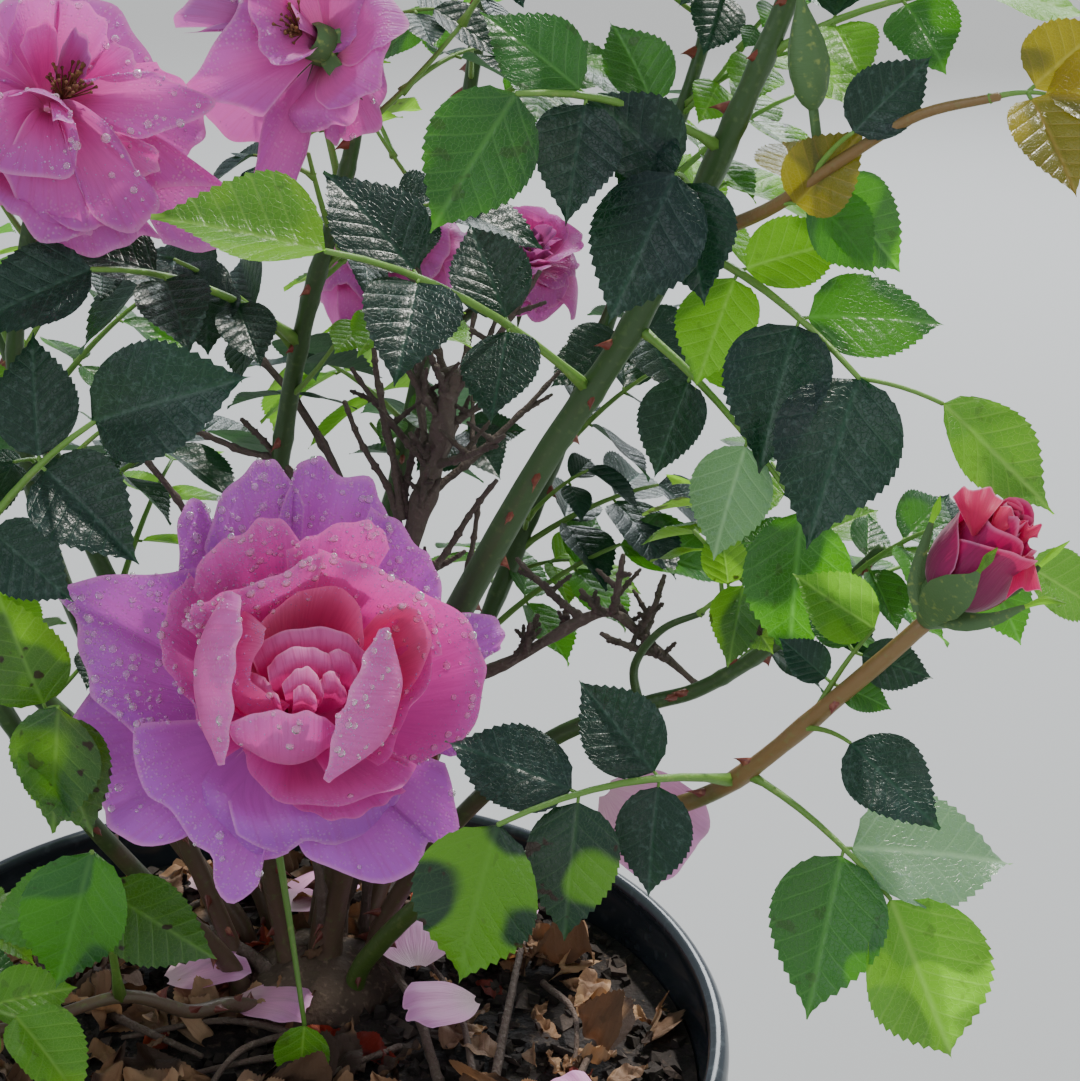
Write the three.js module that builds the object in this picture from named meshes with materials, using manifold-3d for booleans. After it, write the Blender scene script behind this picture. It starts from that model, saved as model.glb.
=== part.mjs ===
// Potted garden rose: a nursery pot with soil, a low woody crown, thorny canes, leafy shoots,
// dead wood, pink blooms and two buds.
// Millimetres, +Z up. The origin is the middle of the pot's flat underside.
import * as THREE from 'three';
import { mergeVertices } from 'three/addons/utils/BufferGeometryUtils.js';
import Module from 'manifold-3d';

const wasm = await Module();
wasm.setup();

// Clearance between neighbouring solids, and the tolerance of the finished faces
const seat = 0.3;
const meshTolerance = 0.08;

// Pot
const potHeight = 240;
const potFootRadius = 108;
const potRimRadius = 140;
const potWall = 2.6;
const potFloor = 3;
const potRimHeight = 17;
const potRimWidth = 7;
const potSides = 32;
const drainRadius = 7;
const drainHeight = 14;
const drainCount = 4;

// Soil and the woody crown at its surface
const soilTop = 220;
const crownAt = { x: 8, y: 46 };
const crownRadius = 28;
const crownHeight = 13;

// Leaves: a stalk with one end leaflet and two pairs of side leaflets
const bladeWidth = 0.66;
const bladeThickness = 0.9;
const bladeFold = 0.12;
const bladeSag = 0.1;
const bladeTwist = 0.5;
const stalkRadius = 0.95;
const stalkArch = 0.13;
const stalkSection = [[0.87, 0.5], [-0.87, 0.5], [0, -1]];
const leafletSections = [{ at: 0.34, width: 0.96 }, { at: 0.68, width: 0.78 }];
const sidePairs = [
  { at: 0.68, open: 60, size: 0.88 },
  { at: 0.34, open: 68, size: 0.74 },
];

const pairTilt = 0.25;
const pairSag = 0.006;

// Places on a leaflet, across and along its blade, that are tested for room
const bladeSamples = [
  [0, 0.3], [0, 0.65], [0, 1], [0.45, 0.3], [-0.45, 0.3], [0.4, 0.66], [-0.4, 0.66],
];

// Room that a seeded leaf keeps from the limbs, blooms and leaves of other masses
const leafClearance = 9.5;
const leafTries = 6;
const leafTurn = 61;
const reachRadius = 258;
const reachHeight = 705;
const potKeepOut = { radius: 156, height: 252 };
const stubRoom = [8, 14];
const branchRoom = [4, 10];

// Open space in front of the great bloom
const openSpace = { x: 22, y: -118, z: 424, radius: 62 };

const degree = Math.PI / 180;
const vec = (x, y, z) => new THREE.Vector3(x, y, z);

// A seeded series of numbers from 0 to 1
function series(seed) {
  let state = seed >>> 0;
  return () => {
    state = (Math.imul(state, 1664525) + 1013904223) >>> 0;
    return state / 4294967296;
  };
}

// A direction from a compass heading (0 along +X, 90 along +Y) and a rise above level
function heading(toward, rise) {
  const flat = Math.cos(rise * degree);
  return vec(
    flat * Math.cos(toward * degree),
    flat * Math.sin(toward * degree),
    Math.sin(rise * degree),
  );
}

// What is left of a vector square to an axis, at length one
function squareTo(vector, axis) {
  return vector.clone().addScaledVector(axis, -vector.dot(axis)).normalize();
}

// Solids

function closedSolid(points, faces) {
  const build = (triangles) => new wasm.Manifold(new wasm.Mesh({
    numProp: 3,
    vertProperties: new Float32Array(points.flatMap((point) => [point.x, point.y, point.z])),
    triVerts: new Uint32Array(triangles.flat()),
  }));
  const made = build(faces);
  return made.volume() < 0 ? build(faces.map(([a, b, c]) => [a, c, b])) : made;
}

function solidFromGeometry(geometry) {
  geometry.deleteAttribute('normal');
  geometry.deleteAttribute('uv');
  const merged = mergeVertices(geometry, 1e-3);
  const place = merged.getAttribute('position');
  const points = [];
  for (let i = 0; i < place.count; i++) {
    points.push(new THREE.Vector3().fromBufferAttribute(place, i));
  }
  const faces = [];
  for (let i = 0; i < merged.index.count; i += 3) {
    const face = [0, 1, 2].map((corner) => merged.index.getX(i + corner));
    if (new Set(face).size === 3) faces.push(face);
  }
  return closedSolid(points, faces);
}

function lathe(profile, sides) {
  const turned = new THREE.LatheGeometry(profile.map(([r, z]) => new THREE.Vector2(r, z)), sides);
  return solidFromGeometry(turned.rotateX(Math.PI / 2));
}

function joined(solids) {
  return solids.reduce((all, next) => all.add(next));
}

// The largest body of a solid, so that no scrap and no sealed hollow stays in it
function largestBody(solid) {
  const bodies = solid.decompose().sort((a, b) => b.volume() - a.volume());
  return bodies[0];
}

// A limb: a tapering tube with flat ends along part of a path
function limb(path, from, to, radiusAt, sides, steps) {
  const points = [];
  const faces = [];
  let side = vec(1, 0, 0);
  for (let i = 0; i <= steps; i++) {
    const t = from + (to - from) * i / steps;
    const centre = path.getPoint(t);
    const along = path.getTangent(t);
    if (i === 0 && Math.abs(along.x) > 0.8) side = vec(0, 1, 0);
    side = squareTo(side, along);
    const across = along.clone().cross(side);
    for (let k = 0; k < sides; k++) {
      const angle = 2 * Math.PI * k / sides;
      const radius = radiusAt(t);
      points.push(centre.clone()
        .addScaledVector(side, radius * Math.cos(angle))
        .addScaledVector(across, radius * Math.sin(angle)));
    }
  }
  for (let i = 0; i < steps; i++) {
    for (let k = 0; k < sides; k++) {
      const a = i * sides + k;
      const b = i * sides + (k + 1) % sides;
      faces.push([a, b, b + sides], [a, b + sides, a + sides]);
    }
  }
  const last = steps * sides;
  for (let k = 1; k < sides - 1; k++) {
    faces.push([0, k + 1, k], [last, last + k, last + k + 1]);
  }
  return closedSolid(points, faces);
}

// A small thin blade of eight faces, as for a sepal
function blade({ base, along, face, long, wide }) {
  const across = face.clone().cross(along);
  const place = (u, v, lift) => base.clone()
    .addScaledVector(along, long * v)
    .addScaledVector(across, wide * u / 2)
    .addScaledVector(face, lift);
  const corners = [place(0, 0, 0), place(1, 0.4, 0), place(0, 1, 0), place(-1, 0.4, 0)];
  const top = place(0, 0.4, bladeThickness / 2);
  const under = place(0, 0.4, -bladeThickness / 2);
  const faces = [];
  for (let i = 0; i < 4; i++) {
    faces.push([i, (i + 1) % 4, 4], [(i + 1) % 4, i, 5]);
  }
  return closedSolid([...corners, top, under], faces);
}

// The places of one leaf: its stalk and its leaflets. Its face looks along the vector facing.
function leafPlan(foot, spec, random) {
  const end = foot.clone().addScaledVector(heading(spec.toward, spec.rise), spec.stalk);
  const middle = foot.clone().lerp(end, 0.5).add(vec(0, 0, stalkArch * spec.stalk));
  const stalk = new THREE.QuadraticBezierCurve3(foot, middle, end);
  const facing = spec.facing.clone();
  const leaflets = [];
  const addLeaflet = (base, along, size, tilt) => {
    const twist = (random() - 0.5) * bladeTwist;
    const stretch = 0.92 + 0.14 * random();
    const flat = squareTo(facing.clone().add(tilt), along);
    const face = flat.clone().addScaledVector(flat.clone().cross(along), twist).normalize();
    leaflets.push({ base, along, face, long: spec.blade * size * stretch });
  };
  addLeaflet(end, heading(spec.head ?? spec.toward, spec.hang), 1, vec(0, 0, 0));
  const sag = Math.max(0, (spec.rise - spec.hang) * pairSag);
  for (const pair of sidePairs.slice(0, spec.pairs ?? 2)) {
    const along = stalk.getTangent(pair.at);
    const face = squareTo(facing, along);
    const across = face.clone().cross(along);
    for (const hand of [1, -1]) {
      const lead = along.clone().multiplyScalar(Math.cos(pair.open * degree))
        .addScaledVector(across, hand * Math.sin(pair.open * degree))
        .add(vec(0, 0, -sag)).normalize();
      const tilt = across.clone().multiplyScalar(hand * pairTilt);
      addLeaflet(stalk.getPoint(pair.at), lead, pair.size, tilt);
    }
  }
  return { stalk, leaflets, facing };
}

// One leaf as a single closed body: a three-sided stalk whose side faces open into leaflets.
// A ring is a left edge, a right edge and a keel.
function leafSolid({ stalk, leaflets, facing }) {
  const points = [];
  const faces = [];
  const add = (point) => points.push(point) - 1;
  const band = (from, to) => {
    for (let k = 0; k < 3; k++) {
      const next = (k + 1) % 3;
      faces.push([from[k], from[next], to[next]], [from[k], to[next], to[k]]);
    }
  };
  const bladeRing = ({ base, along, face, long }, { at, width }) => {
    const across = face.clone().cross(along);
    const half = long * bladeWidth * width / 2;
    const middle = base.clone().addScaledVector(along, long * at)
      .addScaledVector(face, -long * bladeSag * at * at);
    const edge = middle.clone().addScaledVector(face, half * bladeFold);
    return [
      add(edge.clone().addScaledVector(across, half)),
      add(edge.clone().addScaledVector(across, -half)),
      add(middle.addScaledVector(face, -bladeThickness)),
    ];
  };
  const finishLeaflet = (leaflet, ring, sections) => {
    let last = ring;
    for (const next of sections.map((one) => bladeRing(leaflet, one))) {
      band(last, next);
      last = next;
    }
    const { base, along, face, long } = leaflet;
    const tip = add(base.clone().addScaledVector(along, long).addScaledVector(face, -long * bladeSag));
    for (let k = 0; k < 3; k++) faces.push([last[k], last[(k + 1) % 3], tip]);
  };
  const stalkRing = (t) => {
    const centre = stalk.getPoint(t);
    const along = stalk.getTangent(t);
    const face = squareTo(facing, along);
    const across = face.clone().cross(along);
    const radius = stalkRadius * (1 - 0.25 * t);
    return stalkSection.map(([u, w]) => add(centre.clone()
      .addScaledVector(across, radius * u)
      .addScaledVector(face, radius * w)));
  };
  let last = stalkRing(0);
  faces.push([last[0], last[2], last[1]]);
  const slot = stalkRadius / stalk.getLength();
  const pairCount = (leaflets.length - 1) / 2;
  for (let pair = pairCount - 1; pair >= 0; pair--) {
    const near = stalkRing(sidePairs[pair].at - slot);
    const far = stalkRing(sidePairs[pair].at + slot);
    band(last, near);
    faces.push([near[0], near[1], far[1]], [near[0], far[1], far[0]]);
    for (const hand of [0, 1]) {
      const leaflet = leaflets[1 + 2 * pair + hand];
      const ring = bladeRing(leaflet, leafletSections[0]);
      const [a, b, keel] = ring;
      const [p, q] = hand === 0 ? [near, far] : [far, near];
      faces.push([p[hand], q[hand], b], [p[hand], b, a]);
      faces.push([q[hand], q[2], keel], [q[hand], keel, b]);
      faces.push([q[2], p[2], keel]);
      faces.push([p[2], p[hand], a], [p[2], a, keel]);
      finishLeaflet(leaflet, ring, leafletSections.slice(1));
    }
    last = far;
  }
  const end = stalkRing(0.97);
  band(last, end);
  finishLeaflet(leaflets[0], end, leafletSections);
  return closedSolid(points, faces);
}

// Points spread over a leaf, for the test that keeps leaves apart
function leafPoints({ stalk, leaflets }) {
  const points = [0.4, 0.7, 1].map((t) => stalk.getPoint(t));
  for (const { base, along, face, long } of leaflets) {
    const across = face.clone().cross(along);
    for (const [u, v] of bladeSamples) {
      points.push(base.clone()
        .addScaledVector(along, long * v)
        .addScaledVector(across, long * bladeWidth * u)
        .addScaledVector(face, -long * bladeSag * v * v));
    }
  }
  return points;
}

// A bloom is one body turned round its axis, with rings of rounded petal lobes. Out and rise are
// shares of its radius, and ring says whose lobes a level follows.
const bloomLevels = [
  { out: 0.55, rise: 0.1, ring: 0, lobe: 0.05 },
  { out: 1, rise: 0.3, ring: 0, lobe: 0.11 },
  { out: 0.96, rise: 0.34, ring: 0, lobe: 0.11 },
  { out: 0.66, rise: 0.27, ring: 0, lobe: 0.03 },
  { out: 0.81, rise: 0.56, ring: 1, lobe: 0.1 },
  { out: 0.76, rise: 0.6, ring: 1, lobe: 0.1 },
  { out: 0.48, rise: 0.42, ring: 1, lobe: 0.03 },
  { out: 0.55, rise: 0.76, ring: 2, lobe: 0.1 },
  { out: 0.5, rise: 0.78, ring: 2, lobe: 0.1 },
  { out: 0.3, rise: 0.58, ring: 2, lobe: 0 },
  { out: 0.28, rise: 0.86, ring: 3, lobe: 0.12 },
  { out: 0.14, rise: 0.84, ring: 3, lobe: 0.12 },
];
const hipLevels = [[2.6, 0], [4.8, 5], [5.4, 11]];
const hipLength = 11;
const lobeCount = 5;
const bloomStalkRadius = 1.8;

// A spindle of revolution along a direction, as for a hip, a core or a bud
function spindle(from, axis, profile, sides) {
  const turn = new THREE.Quaternion().setFromUnitVectors(vec(0, 0, 1), axis);
  const turned = new THREE.LatheGeometry(profile.map(([r, z]) => new THREE.Vector2(r, z)), sides);
  turned.rotateX(Math.PI / 2);
  turned.applyQuaternion(turn);
  turned.translate(from.x, from.y, from.z);
  return solidFromGeometry(turned);
}

function frameOf(origin, axis) {
  const side = squareTo(Math.abs(axis.z) > 0.9 ? vec(1, 0, 0) : vec(0, 0, 1), axis);
  return { origin, axis, side, across: axis.clone().cross(side) };
}

function bloomSolid({ hip, axis, radius, droop = 0, sides = 15 }) {
  const { side, across } = frameOf(hip, axis);
  const points = [hip.clone()];
  const levels = hipLevels.map(([out, rise]) => ({ out, rise, lobe: 0, ring: 0 }));
  for (const { out, rise, ring, lobe } of bloomLevels) {
    const hang = droop * out * out;
    levels.push({ out: radius * out, rise: hipLength + radius * (rise - hang), ring, lobe });
  }
  for (const { out, rise, ring, lobe } of levels) {
    for (let k = 0; k < sides; k++) {
      const angle = 2 * Math.PI * k / sides;
      const wave = lobe * Math.cos(lobeCount * angle + Math.PI * ring);
      points.push(hip.clone()
        .addScaledVector(side, out * (1 + wave) * Math.cos(angle))
        .addScaledVector(across, out * (1 + wave) * Math.sin(angle))
        .addScaledVector(axis, rise + 0.3 * out * wave));
    }
  }
  points.push(hip.clone().addScaledVector(axis, hipLength + 0.7 * radius));
  const faces = [];
  const last = points.length - 1;
  const top = last - sides;
  for (let k = 0; k < sides; k++) {
    const next = (k + 1) % sides;
    faces.push([0, 1 + next, 1 + k], [last, top + k, top + next]);
    for (let ring = 1; ring < top; ring += sides) {
      faces.push([ring + k, ring + next, ring + sides + next]);
      faces.push([ring + k, ring + sides + next, ring + sides + k]);
    }
  }
  return closedSolid(points, faces);
}

// A sepal leans out from the foot of a bud
function sepal(from, axis, toward, long, wide) {
  const along = axis.clone().multiplyScalar(0.8).addScaledVector(toward, 0.6).normalize();
  return blade({ base: from, along, face: squareTo(toward, along), long, wide });
}

// A bud: a hip, a pointed spindle of furled petals and five sepals
const sepalCount = 5;
function budSolid({ hip, axis, long, radius }) {
  const frame = frameOf(hip, axis);
  const solids = [
    spindle(hip, axis, [[0, 0], [2.6, 0], [5, 5], [5.5, 9], [0, 12]], 8),
    spindle(hip, axis, [
      [0, 6], [radius * 0.55, 9], [radius, long * 0.42], [radius * 0.92, long * 0.62],
      [radius * 0.5, long * 0.9], [0, long],
    ], 10),
  ];
  for (let k = 0; k < sepalCount; k++) {
    const angle = 2 * Math.PI * k / sepalCount;
    const toward = frame.side.clone().multiplyScalar(Math.cos(angle))
      .addScaledVector(frame.across, Math.sin(angle));
    const from = hip.clone().addScaledVector(axis, 8).addScaledVector(toward, 3.5);
    solids.push(sepal(from, axis, toward, long * 0.85, 8));
  }
  return joined(solids);
}

// The plant's canes. A path's points run from the crown to the tip, thick gives the radius at
// each end, and bare is the share below the leafy part. leaves lists the leaves that are placed
// one by one, and seeded describes the leaves that follow the spiral rule.
const canes = [
  {
    name: 'right_tall', thick: [5.6, 1.7], bare: 0.43, sides: 7,
    path: [
      [12, 45, 223], [17, 45, 256], [32, 34, 304], [59, 15, 365], [84, 8, 414],
      [109, 0, 457], [132, -8, 510], [150, -14, 560], [163, -20, 610], [170, -26, 655],
    ],
    leaves: [
      { at: 0.5, toward: 223, rise: 31, stalk: 101, blade: 43, hang: 14, head: 180, lean: 40 },
      { at: 0.55, toward: 332, rise: -42, stalk: 66, blade: 40, hang: -74, head: 250, lean: 60 },
      { at: 0.6, toward: 313, rise: -21, stalk: 65, blade: 44, hang: -50, head: 237, lean: 55 },
      { at: 0.62, toward: 256, rise: 24, stalk: 34, blade: 38, hang: -54, head: 225, lean: 65, pairs: 1 },
      { at: 0.65, toward: 218, rise: 17, stalk: 68, blade: 38, hang: -52, head: 205, lean: 60 },
      { at: 0.7, toward: 339, rise: 20, stalk: 52, blade: 34, hang: -4, head: 356, lean: 30 },
    ],
    seeded: { seed: 11, from: 0.74, to: 1, count: 9, turn: 60, blade: 38, stalk: 56 },
    shoots: [
      {
        from: 0.605, thick: [2, 1],
        path: [[124, -5, 479], [139, -30, 492], [151, -45, 505], [167, -60, 519], [183, -70, 525]],
        leaves: [
          { at: 0.97, toward: 340, rise: 8, stalk: 12, blade: 34, hang: -3, head: 352, lean: 40, pairs: 1 },
          { at: 0.4, toward: 300, rise: 42, stalk: 22, blade: 24, hang: 50, head: 349, lean: 70, pairs: 0 },
          { at: 0.2, toward: 300, rise: 20, stalk: 16, blade: 27, hang: 46, head: 318, lean: 70, pairs: 0 },
          { at: 0.22, toward: 40, rise: 10, stalk: 22, blade: 32, hang: -42, head: 0, lean: 50, pairs: 1 },
        ],
        bud: { from: 0.46, axis: [-0.16, 0.06, 0.98], stem: 16, long: 27, radius: 4.6 },
      },
    ],
  },
  {
    name: 'right_bud', thick: [3.3, 2.2], bare: 0.5, sides: 6,
    path: [
      [22, 36, 223], [29, 32, 240], [52, 20, 270], [89, 0, 297], [114, -10, 314],
      [136, -25, 333], [165, -45, 373], [179, -52.5, 392],
    ],
    leaves: [
      { at: 0.715, toward: 218, rise: 10, stalk: 82, blade: 45, hang: -72, head: 206, lean: 60 },
      { at: 0.73, toward: 318, rise: -23, stalk: 52, blade: 52, hang: -66, head: 333, lean: 45, pairs: 1 },
      { at: 0.79, toward: 295, rise: 16, stalk: 24, blade: 33, hang: -30, head: 321, lean: 35, pairs: 0 },
      { at: 0.8, toward: 345, rise: 62, stalk: 32, blade: 24, hang: 30, head: 170, lean: 60 },
    ],
  },
  {
    name: 'right_low', thick: [3.3, 1.6], bare: 0.62, sides: 6,
    path: [
      [27, 49, 223], [33, 48, 244], [52, 40, 278], [84, 20, 321], [112, 15, 336],
      [129, 10, 344], [148, 2, 361], [166, -4, 382], [176, -6, 394],
    ],
    leaves: [
      { at: 0.98, toward: 8, rise: -8, stalk: 44, blade: 30, hang: -30, head: 0, lean: 45 },
      { at: 0.86, toward: 110, rise: 30, stalk: 48, blade: 34, hang: 0, head: 100, lean: 30 },
    ],
    seeded: { seed: 23, from: 0.66, to: 0.94, count: 3, turn: 60, blade: 34, stalk: 44 },
    shoots: [
      {
        from: 0.5, thick: [1.5, 0.9],
        path: [[112, 15, 336], [110, 8, 352], [117, 2, 366], [128, -4, 374]],
        leaves: [
          { at: 0.97, toward: 337, rise: 40, stalk: 16, blade: 24, hang: -50, head: 250, lean: 70, pairs: 1 },
        ],
      },
    ],
  },
  {
    name: 'front_main', thick: [3.2, 2.3], bare: 0.5, sides: 6,
    path: [[2, 40, 223], [0, 41, 246], [-2, 34, 276], [3, 14, 310], [10, -8, 336], [15.2, -21.2, 350]],
    leaves: [
      { at: 0.57, toward: 290, rise: -60, stalk: 68, blade: 24, hang: -76, head: 240, lean: 70, pairs: 0 },
      { at: 0.72, toward: 120, rise: 20, stalk: 42, blade: 34, hang: 0, head: 120, lean: 20, pairs: 1 },
    ],
  },
  {
    name: 'left_tall', thick: [3.8, 1.8], bare: 0.4, sides: 6,
    path: [
      [1, 57, 223], [-4, 59, 246], [-6, 63, 300], [-2, 63, 355], [7, 60, 409],
      [16, 48, 445], [28, 35, 481], [34, 25, 504], [33, 15, 521],
    ],
    leaves: [
      { at: 0.59, toward: 240, rise: 25, stalk: 93, blade: 36, hang: -18, head: 200, lean: 35 },
    ],
    seeded: { seed: 37, from: 0.45, to: 0.9, count: 5, turn: 75, blade: 34, stalk: 50 },
  },
  {
    name: 'left_front', thick: [3.4, 1.6], bare: 0.36, sides: 6,
    path: [
      [-12, 35, 223], [-18, 32, 240], [-38, 12, 282], [-58, -14, 335], [-74, -32, 390],
      [-92, -44, 450], [-106, -50, 505], [-112, -52, 540],
    ],
    leaves: [
      { at: 0.57, toward: 338, rise: 46, stalk: 77, blade: 40, hang: 20, head: 344, lean: 55 },
      { at: 0.44, toward: 300, rise: 36, stalk: 47, blade: 38, hang: -78, head: 231, lean: 65, pairs: 1 },
    ],
    seeded: { seed: 41, from: 0.46, to: 1, count: 7, turn: 160, blade: 38, stalk: 54 },
  },
  {
    name: 'low_shoot', thick: [2.6, 1.5], bare: 0.3, sides: 6,
    path: [
      [-3, 27, 223], [-13, 11, 236], [-23, 0, 241], [-41, -10, 253], [-75, -22, 250],
      [-112, -36, 268],
    ],
    leaves: [
      { at: 0.6, toward: 278, rise: 62, stalk: 80, blade: 42, hang: -68, head: 227, lean: 65, pairs: 1 },
    ],
    seeded: { seed: 53, from: 0.82, to: 1, count: 3, turn: 200, blade: 36, stalk: 50 },
  },
  {
    name: 'left_bloom', thick: [3.2, 1.9], bare: 0.45, sides: 6,
    path: [
      [-14, 46, 223], [-20, 46, 244], [-36, 40, 300], [-54, 22, 370], [-59, 8, 430],
      [-50, 0, 476], [-42, -3, 493],
    ],
    seeded: { seed: 61, from: 0.5, to: 0.92, count: 5, turn: 100, blade: 37, stalk: 52 },
  },
  {
    name: 'left_mid', thick: [3.4, 1.9], bare: 0.32, sides: 6,
    path: [
      [-12, 57, 223], [-20, 59, 242], [-60, 62, 300], [-108, 52, 352], [-146, 34, 402],
      [-172, 18, 458], [-180, 10, 486],
    ],
    seeded: { seed: 71, from: 0.36, to: 0.96, count: 9, turn: 30, blade: 38, stalk: 54 },
  },
  {
    name: 'left_back', thick: [3.8, 1.9], bare: 0.32, sides: 6,
    path: [
      [-6, 66, 223], [-12, 71, 244], [-50, 96, 318], [-84, 116, 396], [-108, 126, 474],
      [-126, 130, 548], [-132, 130, 584],
    ],
    seeded: { seed: 83, from: 0.35, to: 0.97, count: 10, turn: 70, blade: 39, stalk: 55 },
  },
  {
    name: 'back_middle', thick: [3.8, 1.9], bare: 0.33, sides: 6,
    path: [
      [8, 69, 223], [11, 75, 244], [22, 100, 310], [36, 124, 372], [48, 134, 425],
      [58, 142, 480], [66, 146, 530], [70, 148, 560],
    ],
    seeded: { seed: 97, from: 0.36, to: 1, count: 10, turn: 10, blade: 38, stalk: 54 },
  },
  {
    name: 'back_right', thick: [3.6, 1.8], bare: 0.33, sides: 6,
    path: [
      [24, 61, 223], [29, 67, 242], [56, 90, 306], [88, 112, 380], [116, 128, 452],
      [138, 138, 520], [146, 140, 552],
    ],
    seeded: { seed: 103, from: 0.36, to: 1, count: 10, turn: 40, blade: 39, stalk: 55 },
  },
];

// Dead wood: an old stub with a fan of twigs, and a dead side branch
const deadStub = {
  thick: [6, 4.6], bare: 0.62,
  path: [[13, 58, 223], [18, 60, 250], [32, 63, 310], [42, 62, 364], [52, 60, 398], [57, 60, 424]],
  twigs: { seed: 5, count: 7, long: 56 },
};
const deadBranch = {
  thick: [3.6, 1.6],
  path: [[33, 62, 312], [50, 48, 326], [72, 35, 340], [101, 30, 359], [114, 26, 352], [130, 24, 338]],
  twigs: { seed: 9, count: 5, long: 26 },
};

// Blooms: each sits on the tip of a cane or of a short stem that grows from one
const blooms = [
  { name: 'bloom_main', cane: 'front_main', axis: [0.05, -0.73, 0.68], radius: 51, sides: 20 },
  { name: 'bloom_left', cane: 'left_bloom', axis: [0.3, -0.42, 0.86], radius: 42, droop: 0.3 },
  { name: 'bloom_hanging', cane: 'left_tall', axis: [-0.62, -0.62, 0.48], radius: 36, droop: 0.5 },
  { name: 'bloom_far_left', cane: 'left_mid', axis: [-0.5, -0.3, 0.81], radius: 40, droop: 0.1 },
  { name: 'bloom_back_left', cane: 'left_back', axis: [-0.25, 0.25, 0.93], radius: 42 },
  {
    name: 'bloom_back', cane: 'back_middle', from: 0.5, axis: [-0.2, -0.55, 0.81],
    stem: [-4, -8, 38], radius: 26, droop: 0.2,
  },
  {
    name: 'bloom_back_right', cane: 'back_middle', from: 0.53, axis: [0.3, -0.5, 0.81],
    stem: [29, 9, 20], radius: 22, droop: 0.3,
  },
];
const redBud = { cane: 'right_bud', axis: [0.45, -0.27, 0.85], long: 42, radius: 13.5 };

// Placing
const pathOf = (points) => new THREE.CatmullRomCurve3(
  points.map(([x, y, z]) => vec(x, y, z)), false, 'catmullrom', 0.5,
);
const taper = ([first, last]) => (t) => first + (last - first) * t;

const caneByName = new Map(canes.map((cane) => [cane.name, cane]));
for (const cane of canes) cane.curve = pathOf(cane.path);

// A seat on a stem's flat end for a piece that leans away from the stem
function tipSeat(curve, radius, axis) {
  const lean = Math.sin(Math.min(axis.angleTo(curve.getTangent(1)), Math.PI / 2));
  return curve.getPoint(1).addScaledVector(axis, seat + radius * lean);
}

// Where each bloom sits
for (const bloom of blooms) {
  const { curve } = caneByName.get(bloom.cane);
  bloom.direction = vec(...bloom.axis).normalize();
  let stemEnd = curve;
  let stemRadius = caneByName.get(bloom.cane).thick[1];
  if (bloom.stem) {
    const foot = curve.getPoint(bloom.from);
    const stem = vec(...bloom.stem);
    const tip = foot.clone().add(stem);
    const middle = foot.clone().addScaledVector(stem, 0.5).add(vec(0, 0, 3));
    bloom.stalk = new THREE.QuadraticBezierCurve3(foot, middle, tip);
    stemEnd = bloom.stalk;
    stemRadius = bloomStalkRadius;
  }
  bloom.hip = tipSeat(stemEnd, stemRadius, bloom.direction);
  bloom.middle = bloom.hip.clone().addScaledVector(bloom.direction, hipLength + bloom.radius * 0.4);
}

// Everything that a leaf has to stay clear of, as points with a radius and an owner
const taken = [];
const takePath = (curve, thick, owner, count = 40) => {
  for (let i = 0; i <= count; i++) {
    const t = i / count;
    taken.push({ point: curve.getPoint(t), radius: taper(thick)(t), owner });
  }
};
for (const cane of canes) {
  takePath(cane.curve, cane.thick, cane.name);
  for (const shoot of cane.shoots ?? []) {
    shoot.curve = pathOf(shoot.path);
    takePath(shoot.curve, shoot.thick, cane.name, 12);
  }
}
deadStub.curve = pathOf(deadStub.path);
deadBranch.curve = pathOf(deadBranch.path);
const roomy = (thick, room) => thick.map((radius, end) => radius + room[end]);
takePath(deadStub.curve, roomy(deadStub.thick, stubRoom), 'dead wood');
takePath(deadBranch.curve, roomy(deadBranch.thick, branchRoom), 'dead wood');
for (const bloom of blooms) {
  taken.push({ point: bloom.middle, radius: bloom.radius * 0.95, owner: bloom.name });
  if (bloom.stalk) takePath(bloom.stalk, [bloomStalkRadius, bloomStalkRadius], bloom.cane, 6);
}
const redBudAxis = vec(...redBud.axis).normalize();
const redBudCane = caneByName.get(redBud.cane);
const redBudHip = tipSeat(redBudCane.curve, redBudCane.thick[1], redBudAxis);
const redBudRoom = 22;
const redBudMiddle = redBudHip.clone().addScaledVector(redBudAxis, redBudRoom);
taken.push({ point: redBudMiddle, radius: redBudRoom, owner: 'red bud' });
const openMiddle = vec(openSpace.x, openSpace.y, openSpace.z);
taken.push({ point: openMiddle, radius: openSpace.radius, owner: 'open' });

function isFree(points, owner) {
  return points.every((point) => {
    const flat = Math.hypot(point.x, point.y);
    if (flat > reachRadius || point.z > reachHeight) return false;
    if (flat < potKeepOut.radius && point.z < potKeepOut.height) return false;
    return taken.every((other) => other.owner === owner
      || point.distanceTo(other.point) > other.radius + leafClearance);
  });
}

const takeLeaf = (plan, owner) => {
  for (const point of leafPoints(plan)) taken.push({ point, radius: 0, owner });
};

// Leaves that are placed one by one come first
function placedLeaves(owner, curve, specs, random) {
  return (specs ?? []).map((spec) => {
    const lean = spec.lean * degree;
    const facing = vec(0, -Math.sin(lean), Math.cos(lean));
    const plan = leafPlan(curve.getPoint(spec.at), { ...spec, facing }, random);
    takeLeaf(plan, owner);
    return plan;
  });
}

for (const cane of canes) {
  const random = series(cane.path.length * 1000 + cane.name.length);
  cane.plans = placedLeaves(cane.name, cane.curve, cane.leaves, random);
  for (const shoot of cane.shoots ?? []) {
    cane.plans.push(...placedLeaves(cane.name, shoot.curve, shoot.leaves, random));
  }
}

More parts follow.
